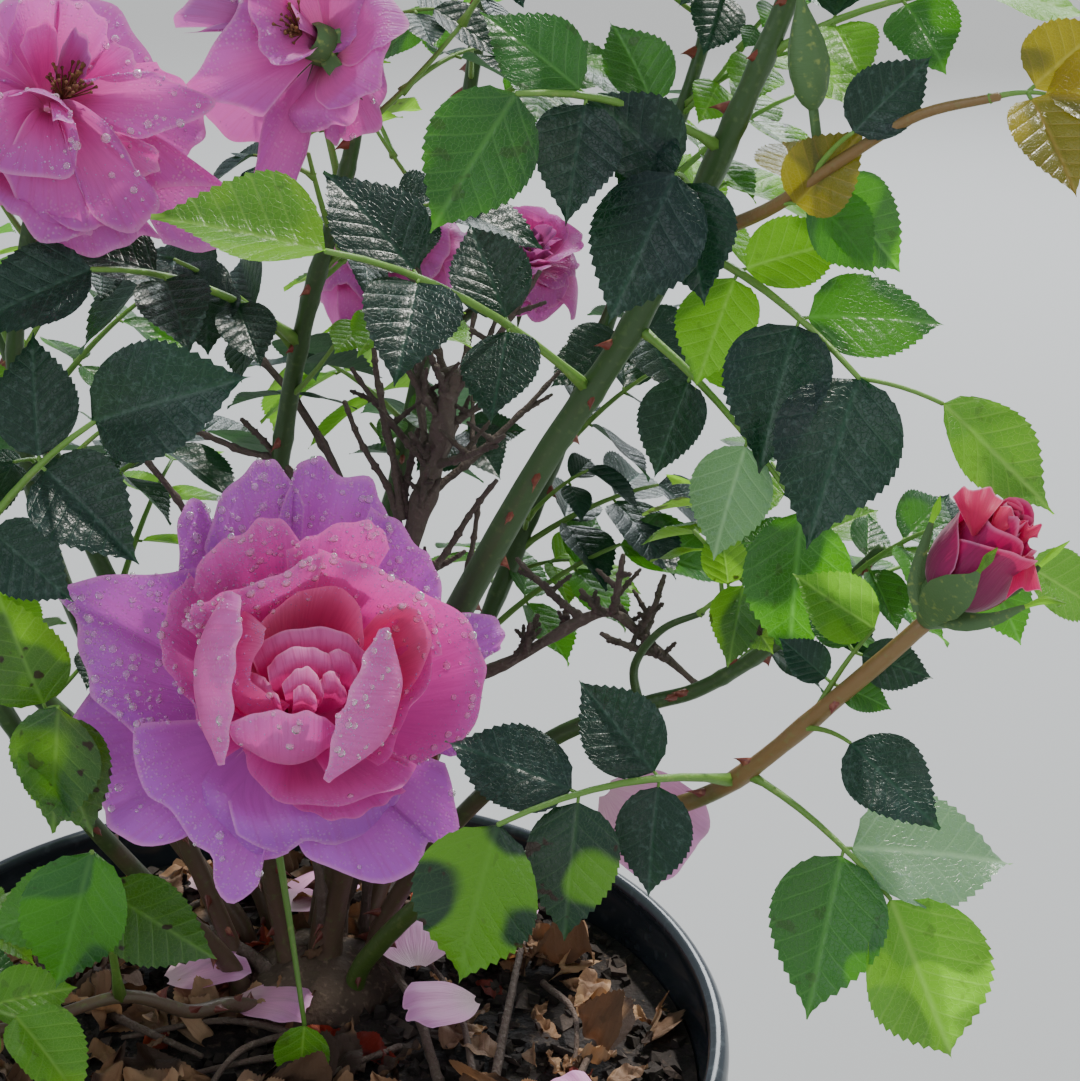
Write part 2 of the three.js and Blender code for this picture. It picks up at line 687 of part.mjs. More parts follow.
// Then the seeded leaves, in a spiral up each cane. A leaf with no room turns on round the cane
// a few times, and is skipped if it still has none. Leaves rise more steeply and get smaller
// towards the tip.
const spiral = 137.5;
const riseRange = { least: 18, spread: 26, gain: 22 };
const hangRange = { least: 38, spread: 34 };
const stalkRange = { least: 0.85, spread: 0.3, loss: 0.25 };
const bladeRange = { least: 0.88, spread: 0.22, loss: 0.15 };
const wanderRange = 30;
const outwardLean = 0.55;
for (const cane of canes) {
  if (!cane.seeded) continue;
  const { seed, from, to, count, turn, blade: bladeLong, stalk } = cane.seeded;
  for (let k = 0; k < count; k++) {
    const random = series(seed * 1000 + k * 17);
    const up = k / count;
    const grown = (range) => (range.least + range.spread * random()) * (1 - range.loss * up);
    const at = from + (to - from) * (k + 0.7 * random()) / count;
    const rise = riseRange.least + riseRange.spread * random() + riseRange.gain * up ** 2;
    const spec = {
      rise,
      stalk: stalk * grown(stalkRange),
      blade: bladeLong * grown(bladeRange),
      hang: rise - hangRange.least - hangRange.spread * random(),
    };
    const wander = wanderRange * (random() - 0.5);
    for (let attempt = 0; attempt < leafTries; attempt++) {
      spec.toward = turn + spiral * k + wander + leafTurn * attempt;
      const outward = heading(spec.toward, 0);
      spec.facing = outward.multiplyScalar(outwardLean).add(vec(0, -0.15, 0.8)).normalize();
      const plan = leafPlan(cane.curve.getPoint(at), spec, random);
      if (isFree(leafPoints(plan), cane.name)) {
        cane.plans.push(plan);
        takeLeaf(plan, cane.name);
        break;
      }
    }
  }
}

// Colours
const finish = (color, roughness) => new THREE.MeshStandardMaterial({ color, roughness, metalness: 0 });
const potBlack = finish(0x1a1d20, 0.42);
const soilBrown = finish(0x33261e, 0.95);
const barkBrown = finish(0x6a5547, 0.85);
const deadGrey = finish(0x5a4c45, 0.9);
const caneGreen = finish(0x5f7a3c, 0.55);
const leafGreen = finish(0x2f5b35, 0.4);
const petalPink = finish(0xd975b8, 0.6);
const budCrimson = finish(0xc8225e, 0.5);

// The pot: tapered wall, rolled rim, round drain holes at the foot
function potSolid() {
  const wallTop = potHeight - potRimHeight;
  const rimInner = potRimRadius - potRimWidth;
  const outer = rimInner + potWall - 1;
  const drillLength = 30;
  const shell = lathe([
    [0, 0], [potFootRadius - 4, 0], [potFootRadius, 4], [outer, wallTop],
    [potRimRadius, wallTop + 2], [potRimRadius, potHeight - 3],
    [potRimRadius - 3, potHeight], [rimInner + 1, potHeight - 1],
    [rimInner - 1, potHeight - 5], [outer - potWall, wallTop - 6],
    [potFootRadius - potWall, potFloor], [0, potFloor],
  ], potSides);
  const drains = [];
  for (let k = 0; k < drainCount; k++) {
    const drain = new THREE.CylinderGeometry(drainRadius, drainRadius, drillLength, 8);
    drain.rotateZ(Math.PI / 2);
    drain.translate(potFootRadius, 0, drainHeight);
    drain.rotateZ(2 * Math.PI * (k + 0.5) / drainCount);
    drains.push(solidFromGeometry(drain));
  }
  return shell.subtract(joined(drains));
}

function soilSolid() {
  const innerFoot = potFootRadius - potWall - seat;
  const innerTop = potRimRadius - potRimWidth - 1 - seat;
  const share = (soilTop - potFloor) / (potHeight - potRimHeight - 6 - potFloor);
  const bottom = potFloor + seat;
  return lathe([
    [0, bottom], [innerFoot - 0.2, bottom], [innerFoot + (innerTop - innerFoot) * share - 0.4, soilTop],
    [0, soilTop],
  ], potSides);
}

// The woody crown: a low knotted knob with a flat cut at the soil, grown by a margin for cutting
function crownSolid(margin) {
  const sides = 18;
  const levels = [[0, 1], [0.25, 0.93], [0.55, 0.8], [0.8, 0.6], [1, 0.34]];
  const points = [vec(crownAt.x, crownAt.y, soilTop + seat - margin)];
  for (const [rise, share] of levels) {
    for (let k = 0; k < sides; k++) {
      const angle = 2 * Math.PI * k / sides;
      const lump = 1 + 0.07 * Math.sin(3 * angle + 0.6) + 0.05 * Math.sin(5 * angle);
      const radius = crownRadius * share * lump + margin;
      points.push(vec(
        crownAt.x + radius * Math.cos(angle),
        crownAt.y + radius * Math.sin(angle),
        soilTop + seat + crownHeight * rise + (rise > 0 ? margin : -margin),
      ));
    }
  }
  points.push(vec(crownAt.x, crownAt.y, soilTop + seat + crownHeight * 1.08 + margin));
  const faces = [];
  const last = points.length - 1;
  const top = (levels.length - 1) * sides;
  for (let k = 0; k < sides; k++) {
    const next = (k + 1) % sides;
    faces.push([0, 1 + next, 1 + k], [last, 1 + top + k, 1 + top + next]);
    for (let level = 0; level < levels.length - 1; level++) {
      const a = 1 + level * sides;
      faces.push([a + k, a + next, a + sides + next], [a + k, a + sides + next, a + sides + k]);
    }
  }
  return closedSolid(points, faces);
}

const bushGroup = new THREE.Group();

function addNode(name, solid, material) {
  const body = largestBody(solid).asOriginal().simplify(meshTolerance);
  const { numProp, vertProperties, triVerts } = body.getMesh();
  const geometry = new THREE.BufferGeometry();
  const place = [];
  for (let i = 0; i < vertProperties.length; i += numProp) {
    place.push(vertProperties[i], vertProperties[i + 1], vertProperties[i + 2]);
  }
  geometry.setAttribute('position', new THREE.Float32BufferAttribute(place, 3));
  geometry.setIndex(Array.from(triVerts));
  const mesh = new THREE.Mesh(geometry, material);
  mesh.name = name;
  bushGroup.add(mesh);
}

addNode('pot', potSolid(), potBlack);
addNode('potting_soil', soilSolid(), soilBrown);
addNode('woody_crown', crownSolid(0), barkBrown);
const crownCut = crownSolid(seat);

// Twigs that leave a limb of dead wood at seeded places, each with a fork
function twigSolids(curve, { seed, count, long }, from) {
  const random = series(seed);
  const solids = [];
  for (let k = 0; k < count; k++) {
    const foot = curve.getPoint(from + (0.97 - from) * (k + random()) / count);
    const lead = heading(spiral * k + 40 * random(), 25 + 40 * random());
    const reach = long * (0.6 + 0.5 * random());
    const tip = foot.clone().addScaledVector(lead, reach);
    const bend = foot.clone().lerp(tip, 0.5).add(vec(0, 0, -0.08 * reach));
    const twig = new THREE.QuadraticBezierCurve3(foot, bend, tip);
    solids.push(limb(twig, 0, 1, taper([1.6, 0.7]), 3, 2));
    if (k % 2 === 0) {
      const fork = twig.getPoint(0.5);
      const forkTip = fork.clone().addScaledVector(heading(spiral * k + 90, 50), reach * 0.4);
      solids.push(limb(new THREE.LineCurve3(fork, forkTip), 0, 1, taper([1.1, 0.6]), 3, 1));
    }
  }
  return solids;
}

// Dead stub, its fan of twigs and the dead side branch
const knotted = (thick) => (t) => taper(thick)(t) * (1 + 0.09 * Math.sin(38 * t));
const stubGap = seat / deadStub.curve.getLength();
const stubSolid = (margin) => limb(
  deadStub.curve, 0, deadStub.bare, (t) => knotted(deadStub.thick)(t) + margin, 7, 9,
);
addNode('dead_stub', stubSolid(0).subtract(crownCut), deadGrey);
addNode('dead_twigs', joined([
  limb(deadStub.curve, deadStub.bare + stubGap, 1, knotted(deadStub.thick), 7, 5),
  ...twigSolids(deadStub.curve, deadStub.twigs, deadStub.bare + 0.08),
]), deadGrey);
addNode('dead_branch', joined([
  limb(deadBranch.curve, 0, 1, knotted(deadBranch.thick), 6, 10),
  ...twigSolids(deadBranch.curve, deadBranch.twigs, 0.4),
]).subtract(stubSolid(seat)), deadGrey);

// A closed green bud on a thin stem
function greenBudSolids(foot, { axis: lead, stem, long, radius }) {
  const axis = vec(...lead).normalize();
  const hip = foot.clone().addScaledVector(axis, stem);
  const profile = [[0, -1], [1.4, -1], [radius, 6], [radius * 0.8, 12], [1, 22], [0, long]];
  return [limb(new THREE.LineCurve3(foot, hip), 0, 1, () => 1.3, 5, 1), spindle(hip, axis, profile, 7)];
}

// Canes and their leafy parts
for (const cane of canes) {
  const gap = seat / cane.curve.getLength();
  const steps = Math.ceil(cane.path.length * 1.5);
  const bareSteps = Math.ceil(steps * cane.bare);
  const radius = taper(cane.thick);
  const bough = limb(cane.curve, 0, cane.bare, radius, cane.sides, bareSteps);
  addNode(`cane_${cane.name}`, bough.subtract(crownCut), caneGreen);

  const leafy = [limb(cane.curve, cane.bare + gap, 1, radius, cane.sides, steps - bareSteps)];
  for (const shoot of cane.shoots ?? []) {
    leafy.push(limb(shoot.curve, 0, 1, taper(shoot.thick), 5, 5));
    if (shoot.bud) {
      leafy.push(...greenBudSolids(shoot.curve.getPoint(shoot.bud.from), shoot.bud));
    }
  }
  for (const bloom of blooms) {
    if (bloom.cane === cane.name && bloom.stalk) {
      leafy.push(limb(bloom.stalk, 0, 1, () => bloomStalkRadius, 5, 4));
    }
  }
  leafy.push(...cane.plans.map(leafSolid));
  addNode(`leaves_${cane.name}`, joined(leafy), leafGreen);
}

for (const bloom of blooms) {
  addNode(bloom.name, bloomSolid({ ...bloom, axis: bloom.direction }), petalPink);
}
addNode('red_bud', budSolid({ ...redBud, hip: redBudHip, axis: redBudAxis }), budCrimson);

export default bushGroup;
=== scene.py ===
import math
import bpy
import numpy as np
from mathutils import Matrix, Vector


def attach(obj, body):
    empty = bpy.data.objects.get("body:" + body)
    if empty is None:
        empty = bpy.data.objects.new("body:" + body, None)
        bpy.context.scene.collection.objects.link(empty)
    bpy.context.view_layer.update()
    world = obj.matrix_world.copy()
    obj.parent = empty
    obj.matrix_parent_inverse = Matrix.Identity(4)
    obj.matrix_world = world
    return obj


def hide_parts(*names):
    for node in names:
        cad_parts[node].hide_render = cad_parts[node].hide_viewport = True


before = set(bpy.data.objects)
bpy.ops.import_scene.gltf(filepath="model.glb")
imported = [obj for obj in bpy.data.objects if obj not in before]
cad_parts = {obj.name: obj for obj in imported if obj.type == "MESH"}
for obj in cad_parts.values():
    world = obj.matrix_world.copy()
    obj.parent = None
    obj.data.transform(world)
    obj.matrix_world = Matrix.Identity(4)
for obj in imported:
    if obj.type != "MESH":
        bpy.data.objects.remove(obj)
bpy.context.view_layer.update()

mm = 0.001  # the plant's sizes below are in millimetres
fullTurn = 2 * math.pi
spiral = 137.5  # degrees from one shoot to the next round a stem
soilTop = 220
viewPoint = (83, -511, 594)  # the photo's, in millimetres
viewPitch = 21.4  # degrees downward


# small vector tools

def vec(x, y, z):
    return np.array([x, y, z], float)


def unit(v):
    return v / max(float(np.linalg.norm(v)), 1e-9)


def squareTo(v, axis):
    return unit(v - axis * float(v @ axis))


def heading(toward, rise):
    a, b = math.radians(toward), math.radians(rise)
    return vec(math.cos(b) * math.cos(a), math.cos(b) * math.sin(a), math.sin(b))


def series(seed):  # seeded numbers from 0 to 1
    state = [seed & 0xFFFFFFFF]

    def draw():
        state[0] = (state[0] * 1664525 + 1013904223) & 0xFFFFFFFF
        return state[0] / 4294967296
    return draw


def pathOf(points):  # smooth curve through points, returns a function of t
    p = np.array(points, float)
    ext = np.vstack([2 * p[0] - p[1], p, 2 * p[-1] - p[-2]])
    last = len(p) - 1

    def at(t):
        s = np.atleast_1d(np.asarray(t, float)) * last
        i = np.clip(np.floor(s).astype(int), 0, last - 1)
        w = (s - i)[:, None]
        a, b, c, d = ext[i], ext[i + 1], ext[i + 2], ext[i + 3]
        return 0.5 * (2 * b + (c - a) * w + (2 * a - 5 * b + 4 * c - d) * w ** 2
                      + (3 * b - a - 3 * c + d) * w ** 3)
    return at


def bowOf(a, b, c):  # quadratic bow from a to c
    def at(t):
        t = np.atleast_1d(np.asarray(t, float))[:, None]
        return a * (1 - t) ** 2 + b * 2 * t * (1 - t) + c * t ** 2
    return at


def dirOf(at, t):
    return unit((at(min(1, t + 1e-4)) - at(max(0, t - 1e-4)))[0])


def lineOf(a, b, rise=0):  # from a to b, its middle raised
    return bowOf(a, (a + b) / 2 + vec(0, 0, rise), b)


def axisFrame(axis):
    side = squareTo(vec(1, 0, 0) if abs(axis[2]) > 0.9 else vec(0, 0, 1), axis)
    return side, np.cross(axis, side)


def around(count):
    return np.linspace(0, fullTurn, count, endpoint=False)


def ringOf(centre, side, across, angles, wide, deep=None):
    deep = wide if deep is None else deep
    return centre + np.outer(wide * np.cos(angles), side) + np.outer(deep * np.sin(angles), across)


def newObject(name, data):
    made = bpy.data.objects.new(name, data)
    bpy.context.scene.collection.objects.link(made)
    return made


# mesh heaps: parts of one kind are gathered and become one piece

def newHeap():
    return {"points": [], "uv": [], "faces": {3: [], 4: []}, "count": 0}


def addPart(heap, points, faces, uv=None):
    points = np.asarray(points, float).reshape(-1, 3)
    faces = np.asarray(faces, int)
    heap["points"].append(points)
    heap["uv"].append(np.zeros((len(points), 2)) if uv is None else np.asarray(uv, float).reshape(-1, 2))
    heap["faces"][faces.shape[1]].append(faces + heap["count"])
    heap["count"] += len(points)


def gridFaces(rows, columns, wrap=False):
    r, c = np.meshgrid(np.arange(rows - 1), np.arange(columns if wrap else columns - 1), indexing="ij")
    a, b = r * columns + c, r * columns + (c + 1) % columns
    return np.stack([a, b, b + columns, a + columns], -1).reshape(-1, 4)


def makePiece(name, heap, material, nodes=(), smooth=True):
    points = np.vstack(heap["points"]) * mm
    uv = np.vstack(heap["uv"])
    groups = [np.vstack(g) for g in (heap["faces"][3], heap["faces"][4]) if g]
    corners = np.concatenate([g.ravel() for g in groups])
    sizes = np.concatenate([np.full(len(g), g.shape[1]) for g in groups])
    mesh = bpy.data.meshes.new(name)
    mesh.vertices.add(len(points))
    mesh.vertices.foreach_set("co", points.astype(np.float32).ravel())
    mesh.loops.add(len(corners))
    mesh.loops.foreach_set("vertex_index", corners.astype(np.int32))
    mesh.polygons.add(len(sizes))
    mesh.polygons.foreach_set("loop_start", np.concatenate([[0], np.cumsum(sizes)[:-1]]).astype(np.int32))
    mesh.polygons.foreach_set("loop_total", sizes.astype(np.int32))
    mesh.polygons.foreach_set("use_smooth", np.full(len(sizes), smooth))
    layer = mesh.uv_layers.new(name="grown")
    layer.uv.foreach_set("vector", uv[corners].astype(np.float32).ravel())
    mesh.update(calc_edges=True)
    mesh.validate()
    mesh.materials.append(material)
    piece = newObject(name, mesh)
    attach(piece, "root")
    if nodes:
        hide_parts(*nodes)
    triangles = sum(len(g) * (g.shape[1] - 2) for g in groups)
    print(f"{name}: {triangles} triangles")
    return piece


def addTube(heap, at, radiusAt, sides, steps, relief=None):
    ts = np.linspace(0, 1, steps + 1)
    centres = at(ts)
    ahead = at(np.minimum(ts + 1e-3, 1)) - at(np.maximum(ts - 1e-3, 0))
    ahead /= np.linalg.norm(ahead, axis=1)[:, None]
    side = squareTo(vec(0, 1, 0) if abs(ahead[0][0]) > 0.8 else vec(1, 0, 0), ahead[0])
    angles = around(sides)
    rings = []
    for i, t in enumerate(ts):
        side = squareTo(side, ahead[i])
        r = radiusAt(t) * (np.ones(sides) if relief is None else relief(t, angles))
        rings.append(ringOf(centres[i], side, np.cross(ahead[i], side), angles, r))
    points = np.vstack(rings)
    uv = np.stack([np.tile(angles / fullTurn, len(ts)), np.repeat(ts, sides)], 1)
    base = heap["count"]
    tip = centres[-1] + ahead[-1] * radiusAt(ts[-1]) * 0.6
    addPart(heap, np.vstack([points, centres[0], tip]), gridFaces(len(ts), sides, True),
            np.vstack([uv, [0.5, 0], [0.5, 1]]))
    k = np.arange(sides)
    last = (len(ts) - 1) * sides
    low = np.stack([(k + 1) % sides, k, np.full(sides, len(points))], 1)
    high = np.stack([last + k, last + (k + 1) % sides, np.full(sides, len(points) + 1)], 1)
    heap["faces"][3] += [low + base, high + base]


def addSpindle(heap, foot, axis, profile, sides, wave=None):  # turned body along an axis
    side, across = axisFrame(axis)
    angles = around(sides)
    levels = np.linspace(0, 1, len(profile))
    rings = []
    for r, z in profile:
        bulge = np.ones(sides) if wave is None else wave(z, angles)
        rings.append(ringOf(foot + axis * z, side, across, angles, r * bulge))
    uv = np.stack([np.tile(angles / fullTurn, len(profile)), np.repeat(levels, sides)], 1)
    addPart(heap, np.vstack(rings), gridFaces(len(profile), sides, True), uv)


def wobble(seed, count=6):  # smooth seeded noise of two numbers
    rng = np.random.default_rng(seed)
    waves = rng.normal(size=(count, 2)) * np.linspace(1, 3, count)[:, None]
    phase = rng.uniform(0, 6.28, count)

    def value(a, b):
        total = 0
        for (u, v), p in zip(waves, phase):
            total = total + np.sin(u * a + v * b + p)
        return total / count
    return value


# shader tools

def newMaterial(name):
    material = bpy.data.materials.new(name)
    material.use_nodes = True
    tree = material.node_tree
    tree.nodes.clear()
    return material, tree


def feed(tree, socket, value):
    if isinstance(value, bpy.types.NodeSocket):
        tree.links.new(value, socket)
    else:
        socket.default_value = value


def node(tree, kind, inputs=None, **settings):
    made = tree.nodes.new(kind)
    for key, value in settings.items():
        setattr(made, key, value)
    for key, value in (inputs or {}).items():
        feed(tree, made.inputs[key], value)
    return made


def maths(tree, operation, a, b=None):
    inputs = {0: a} if b is None else {0: a, 1: b}
    return node(tree, "ShaderNodeMath", inputs, operation=operation).outputs[0]


def times(tree, a, b):
    return maths(tree, "MULTIPLY", a, b)


def plus(tree, a, b):
    return maths(tree, "ADD", a, b)


def minus(tree, a, b):
    return maths(tree, "SUBTRACT", a, b)


def mixed(tree, factor, a, b):
    return node(tree, "ShaderNodeMix", {0: factor, 6: a, 7: b}, data_type="RGBA").outputs[2]


def ramp(tree, value, low, high):
    inputs = {0: value, 1: low, 2: high}
    return node(tree, "ShaderNodeMapRange", inputs, interpolation_type="SMOOTHSTEP").outputs[0]


def noise(tree, place, scale, detail, roughness=0.5, **settings):
    inputs = {"Vector": place, "Scale": scale, "Detail": detail, "Roughness": roughness}
    return node(tree, "ShaderNodeTexNoise", inputs, **settings).outputs[0]


def objectPlace(tree):
    return node(tree, "ShaderNodeTexCoord").outputs["Object"]


def grownMap(tree):
    return node(tree, "ShaderNodeUVMap", uv_map="grown").outputs[0]


def axisPart(tree, value):
    return node(tree, "ShaderNodeSeparateXYZ", {0: value}).outputs


def rgb(r, g, b):  # screen colour 0 to 255 into linear
    def lin(c):
        c /= 255
        return c / 12.92 if c <= 0.04045 else ((c + 0.055) / 1.055) ** 2.4
    return (lin(r), lin(g), lin(b), 1)


def newGroup(name, inputs, outputs):
    group = bpy.data.node_groups.new(name, "ShaderNodeTree")
    for key, kind, value in inputs:
        socket = group.interface.new_socket(key, in_out="INPUT", socket_type=kind)
        if value is not None:
            socket.default_value = value
    for key, kind in outputs:
        group.interface.new_socket(key, in_out="OUTPUT", socket_type=kind)
    return group, node(group, "NodeGroupInput").outputs, node(group, "NodeGroupOutput")


def useGroup(tree, group, **inputs):
    return node(tree, "ShaderNodeGroup", inputs, node_tree=group).outputs


# mottle: soft patches and fine grain in object space
floatSocket = "NodeSocketFloat"
mottleGroup, groupIn, groupOut = newGroup(
    "mottle", [("Patch Scale", floatSocket, 30.0), ("Grain Scale", floatSocket, 300.0)],
    [("Patch", floatSocket), ("Grain", floatSocket)])
place = objectPlace(mottleGroup)
patch = noise(mottleGroup, place, groupIn["Patch Scale"], 1.0)
grain = noise(mottleGroup, place, groupIn["Grain Scale"], 2.0)
mottleGroup.links.new(ramp(mottleGroup, patch, 0.32, 0.68), groupOut.inputs["Patch"])
mottleGroup.links.new(grain, groupOut.inputs["Grain"])

# veins: midrib and forward-leaning side veins from the leaf's own map
veinGroup, groupIn, groupOut = newGroup(
    "leafVeins", [("Map", "NodeSocketVector", None), ("Pairs", floatSocket, 7.5)],
    [("Vein", floatSocket), ("Swell", floatSocket), ("Net", floatSocket)])
split = axisPart(veinGroup, groupIn["Map"])
out = maths(veinGroup, "ABSOLUTE", minus(veinGroup, split[0], 0.5))
lean = times(veinGroup, maths(veinGroup, "POWER", out, 0.8), 0.62)
row = times(veinGroup, minus(veinGroup, split[1], lean), groupIn["Pairs"])
gap = maths(veinGroup, "ABSOLUTE", minus(veinGroup, maths(veinGroup, "FRACT", row), 0.5))
sideVein = times(veinGroup, ramp(veinGroup, gap, 0.4, 0.5), 0.6)
midrib = ramp(veinGroup, out, 0.03, 0.0)
cells = node(veinGroup, "ShaderNodeTexVoronoi", {"Vector": groupIn["Map"], "Scale": 30.0},
             voronoi_dimensions="2D", feature="DISTANCE_TO_EDGE")
veinGroup.links.new(maths(veinGroup, "MAXIMUM", sideVein, midrib), groupOut.inputs["Vein"])
veinGroup.links.new(ramp(veinGroup, gap, 0.5, 0.1), groupOut.inputs["Swell"])
veinGroup.links.new(ramp(veinGroup, cells.outputs[0], 0.1, 0.0), groupOut.inputs["Net"])


def mottled(tree, patchScale, grainScale):
    return useGroup(tree, mottleGroup, **{"Patch Scale": patchScale, "Grain Scale": grainScale})


def principled(tree, **inputs):
    return node(tree, "ShaderNodeBsdfPrincipled", {k.replace("_", " "): v for k, v in inputs.items()})


def finishMaterial(tree, shader):
    node(tree, "ShaderNodeOutputMaterial", {"Surface": shader})


def bumped(tree, height, strength, distance):
    inputs = {"Height": height, "Strength": strength, "Distance": distance}
    return node(tree, "ShaderNodeBump", inputs).outputs[0]


def finishThin(tree, skin, glow, through, normal):  # skin that light also passes through
    lit = node(tree, "ShaderNodeBsdfTranslucent", {"Color": glow, "Normal": normal})
    both = node(tree, "ShaderNodeMixShader", {0: through, 1: skin.outputs[0], 2: lit.outputs[0]})
    finishMaterial(tree, both.outputs[0])


def leafMaterial(name, face, back, vein, glow, gloss=0.3, through=0.3, spots=0.0, dust=0.0, fleckAndSunPatch=None):
    material, tree = newMaterial(name)
    veins = useGroup(tree, veinGroup, Map=grownMap(tree))
    spread = mottled(tree, 28.0, 640.0)
    darker = tuple(c * 0.62 for c in face[:3]) + (1,)
    colour = mixed(tree, spread["Patch"], darker, face)
    drawn = maths(tree, "MAXIMUM", veins["Vein"], times(tree, veins["Net"], 0.5))
    colour = mixed(tree, times(tree, drawn, 0.5), colour, vein)
    if dust:
        speck = ramp(tree, spread["Grain"], 0.52, 0.72)
        colour = mixed(tree, times(tree, speck, dust), colour, rgb(120, 146, 140))
    paleGlow = tuple(min(1.0, c * 1.3 + 0.12) for c in glow[:3]) + (1,)
    glowColour = mixed(tree, times(tree, drawn, 0.8), glow, paleGlow)
    if spots:
        blotch = noise(tree, objectPlace(tree), 150.0, 2.0, 0.65)
        stain = times(tree, ramp(tree, blotch, 0.62, 0.67), spots)
        colour = mixed(tree, stain, colour, rgb(48, 32, 20))
        glowColour = mixed(tree, stain, glowColour, rgb(60, 34, 14))
    if fleckAndSunPatch:  # painted sunlight: parts of the blade stand brighter and pass more light, as where sun comes through the leaves above
        sunPatchMask = ramp(tree, noise(tree, objectPlace(tree), 42.0, 1.0, 0.4), 0.49, 0.56)
        colour = mixed(tree, sunPatchMask, colour, fleckAndSunPatch)
        through = plus(tree, through * 0.4, times(tree, sunPatchMask, through * 0.6))
    away = node(tree, "ShaderNodeNewGeometry").outputs["Backfacing"]
    colour = mixed(tree, away, colour, back)
    pucker = plus(tree, times(tree, veins["Swell"], 0.3), times(tree, spread["Grain"], 0.8))
    height = minus(tree, pucker, times(tree, drawn, 0.4))
    normal = bumped(tree, height, 0.45, 0.0008)
    rough = plus(tree, gloss, times(tree, away, 0.3))
    skin = principled(tree, Base_Color=colour, Roughness=rough, Normal=normal, IOR=1.45)
    finishThin(tree, skin, glowColour, through, normal)
    return material


leafLooks = {  # face, back, veins and the light that passes through; dark, shaded, mid and lit are one leaf in painted shade, half light and painted sunlight, and each brighter patch colour is painted sun
    "dark": ([(13, 40, 40), (84, 116, 94), (30, 68, 56), (60, 140, 40)],
             {"gloss": 0.33, "through": 0.1, "dust": 0.14}),
    "mid": ([(36, 84, 44), (104, 138, 88), (78, 126, 62), (110, 205, 26)],
            {"gloss": 0.32, "through": 0.42, "spots": 0.3, "fleckAndSunPatch": rgb(66, 122, 40)}),
    "lit": ([(86, 146, 38), (128, 172, 72), (138, 184, 74), (150, 230, 34)],
            {"gloss": 0.4, "through": 0.52, "spots": 0.25, "fleckAndSunPatch": rgb(112, 170, 48)}),
    "spotted": ([(34, 74, 40), (112, 142, 72), (84, 126, 54), (150, 222, 34)],
                {"gloss": 0.32, "through": 0.58, "spots": 0.95, "fleckAndSunPatch": rgb(92, 140, 38)}),
    "shaded": ([(22, 56, 42), (88, 118, 74), (58, 92, 56), (104, 176, 26)],
               {"gloss": 0.32, "through": 0.15, "spots": 0.95, "fleckAndSunPatch": rgb(92, 146, 32)}),
    "bronze": ([(92, 96, 38), (136, 132, 56), (130, 72, 42), (220, 200, 40)],
               {"gloss": 0.3, "through": 0.5, "fleckAndSunPatch": rgb(136, 122, 40)}),
    # pale dusty leaf, its pale colour partly painted sky sheen
    "silver": ([(116, 146, 122), (140, 164, 138), (160, 186, 158), (140, 210, 90)],
               {"gloss": 0.26, "through": 0.3, "dust": 0.5}),
    "tan": ([(140, 110, 88), (168, 136, 108), (104, 76, 58), (220, 150, 90)],
            {"gloss": 0.7, "through": 0.2, "spots": 0.4, "fleckAndSunPatch": rgb(182, 146, 112)}),
    "rust": ([(112, 40, 34), (150, 70, 44), (80, 30, 26), (220, 70, 50)],
             {"gloss": 0.6, "through": 0.25, "spots": 0.5, "fleckAndSunPatch": rgb(160, 74, 40)}),
    "dry": ([(64, 46, 38), (104, 80, 62), (58, 40, 32), (150, 92, 50)],
            {"gloss": 0.75, "through": 0.12, "spots": 0.8, "fleckAndSunPatch": rgb(142, 108, 80)}),
}
leafKinds = {kind: leafMaterial("leaf" + kind.capitalize(), *[rgb(*colour) for colour in colours], **look)
             for kind, (colours, look) in leafLooks.items()}


def petalMaterial(name, core, middle, rim, glow, through=0.3, dew=0.0, wilt=0.0):
    material, tree = newMaterial(name)
    uvMap = grownMap(tree)
    split = axisPart(tree, uvMap)
    spread = mottled(tree, 45.0, 900.0)
    stretch = node(tree, "ShaderNodeMapping", {"Vector": uvMap, "Scale": (26.0, 1.6, 1.0)})
    streak = noise(tree, stretch.outputs[0], 1.6, 3.0, noise_dimensions="2D")
    colour = mixed(tree, ramp(tree, split[1], 0.02, 0.45), core, middle)
    colour = mixed(tree, ramp(tree, split[1], 0.55, 1.0), colour, rim)
    deeper = tuple(c * 0.74 for c in middle[:3]) + (1,)
    colour = mixed(tree, times(tree, ramp(tree, streak, 0.42, 0.7), 0.42), colour, deeper)
    outer = maths(tree, "ABSOLUTE", minus(tree, split[0], 0.5))
    # painted highlight: the tip edge and side edges of each petal are lightened to pale pink as sunlit rims
    paintedRimLight = maths(tree, "MAXIMUM", ramp(tree, split[1], 0.955, 1.0), ramp(tree, outer, 0.475, 0.5))
    colour = mixed(tree, times(tree, paintedRimLight, 0.55), colour, rgb(250, 186, 228))
    colour = mixed(tree, times(tree, spread["Patch"], 0.22), colour, rim)
    if wilt:
        dead = times(tree, ramp(tree, split[1], 0.5, 0.05), wilt)
        colour = mixed(tree, dead, colour, rgb(120, 70, 60))
    height = plus(tree, streak, times(tree, spread["Patch"], 1.4))
    rough = 0.5
    if dew:
        beads = node(tree, "ShaderNodeTexVoronoi", {"Vector": objectPlace(tree), "Scale": 900.0})
        bead = ramp(tree, beads.outputs["Distance"], 0.42, 0.2)
        zone = times(tree, ramp(tree, split[1], 0.45, 0.9), spread["Patch"])
        bead = times(tree, times(tree, bead, zone), dew)
        height = plus(tree, height, times(tree, bead, 2.0))
        # painted glint: each dew bead is lightened toward near white; its bump and gloss are the dew itself
        colour = mixed(tree, times(tree, bead, 0.5), colour, rgb(250, 225, 245))
        rough = minus(tree, 0.5, times(tree, bead, 0.35))
    normal = bumped(tree, height, 0.4, 0.0005)
    skin = principled(tree, Base_Color=colour, Roughness=rough, Normal=normal, Sheen_Weight=0.25)
    finishThin(tree, skin, glow, through, normal)
    return material


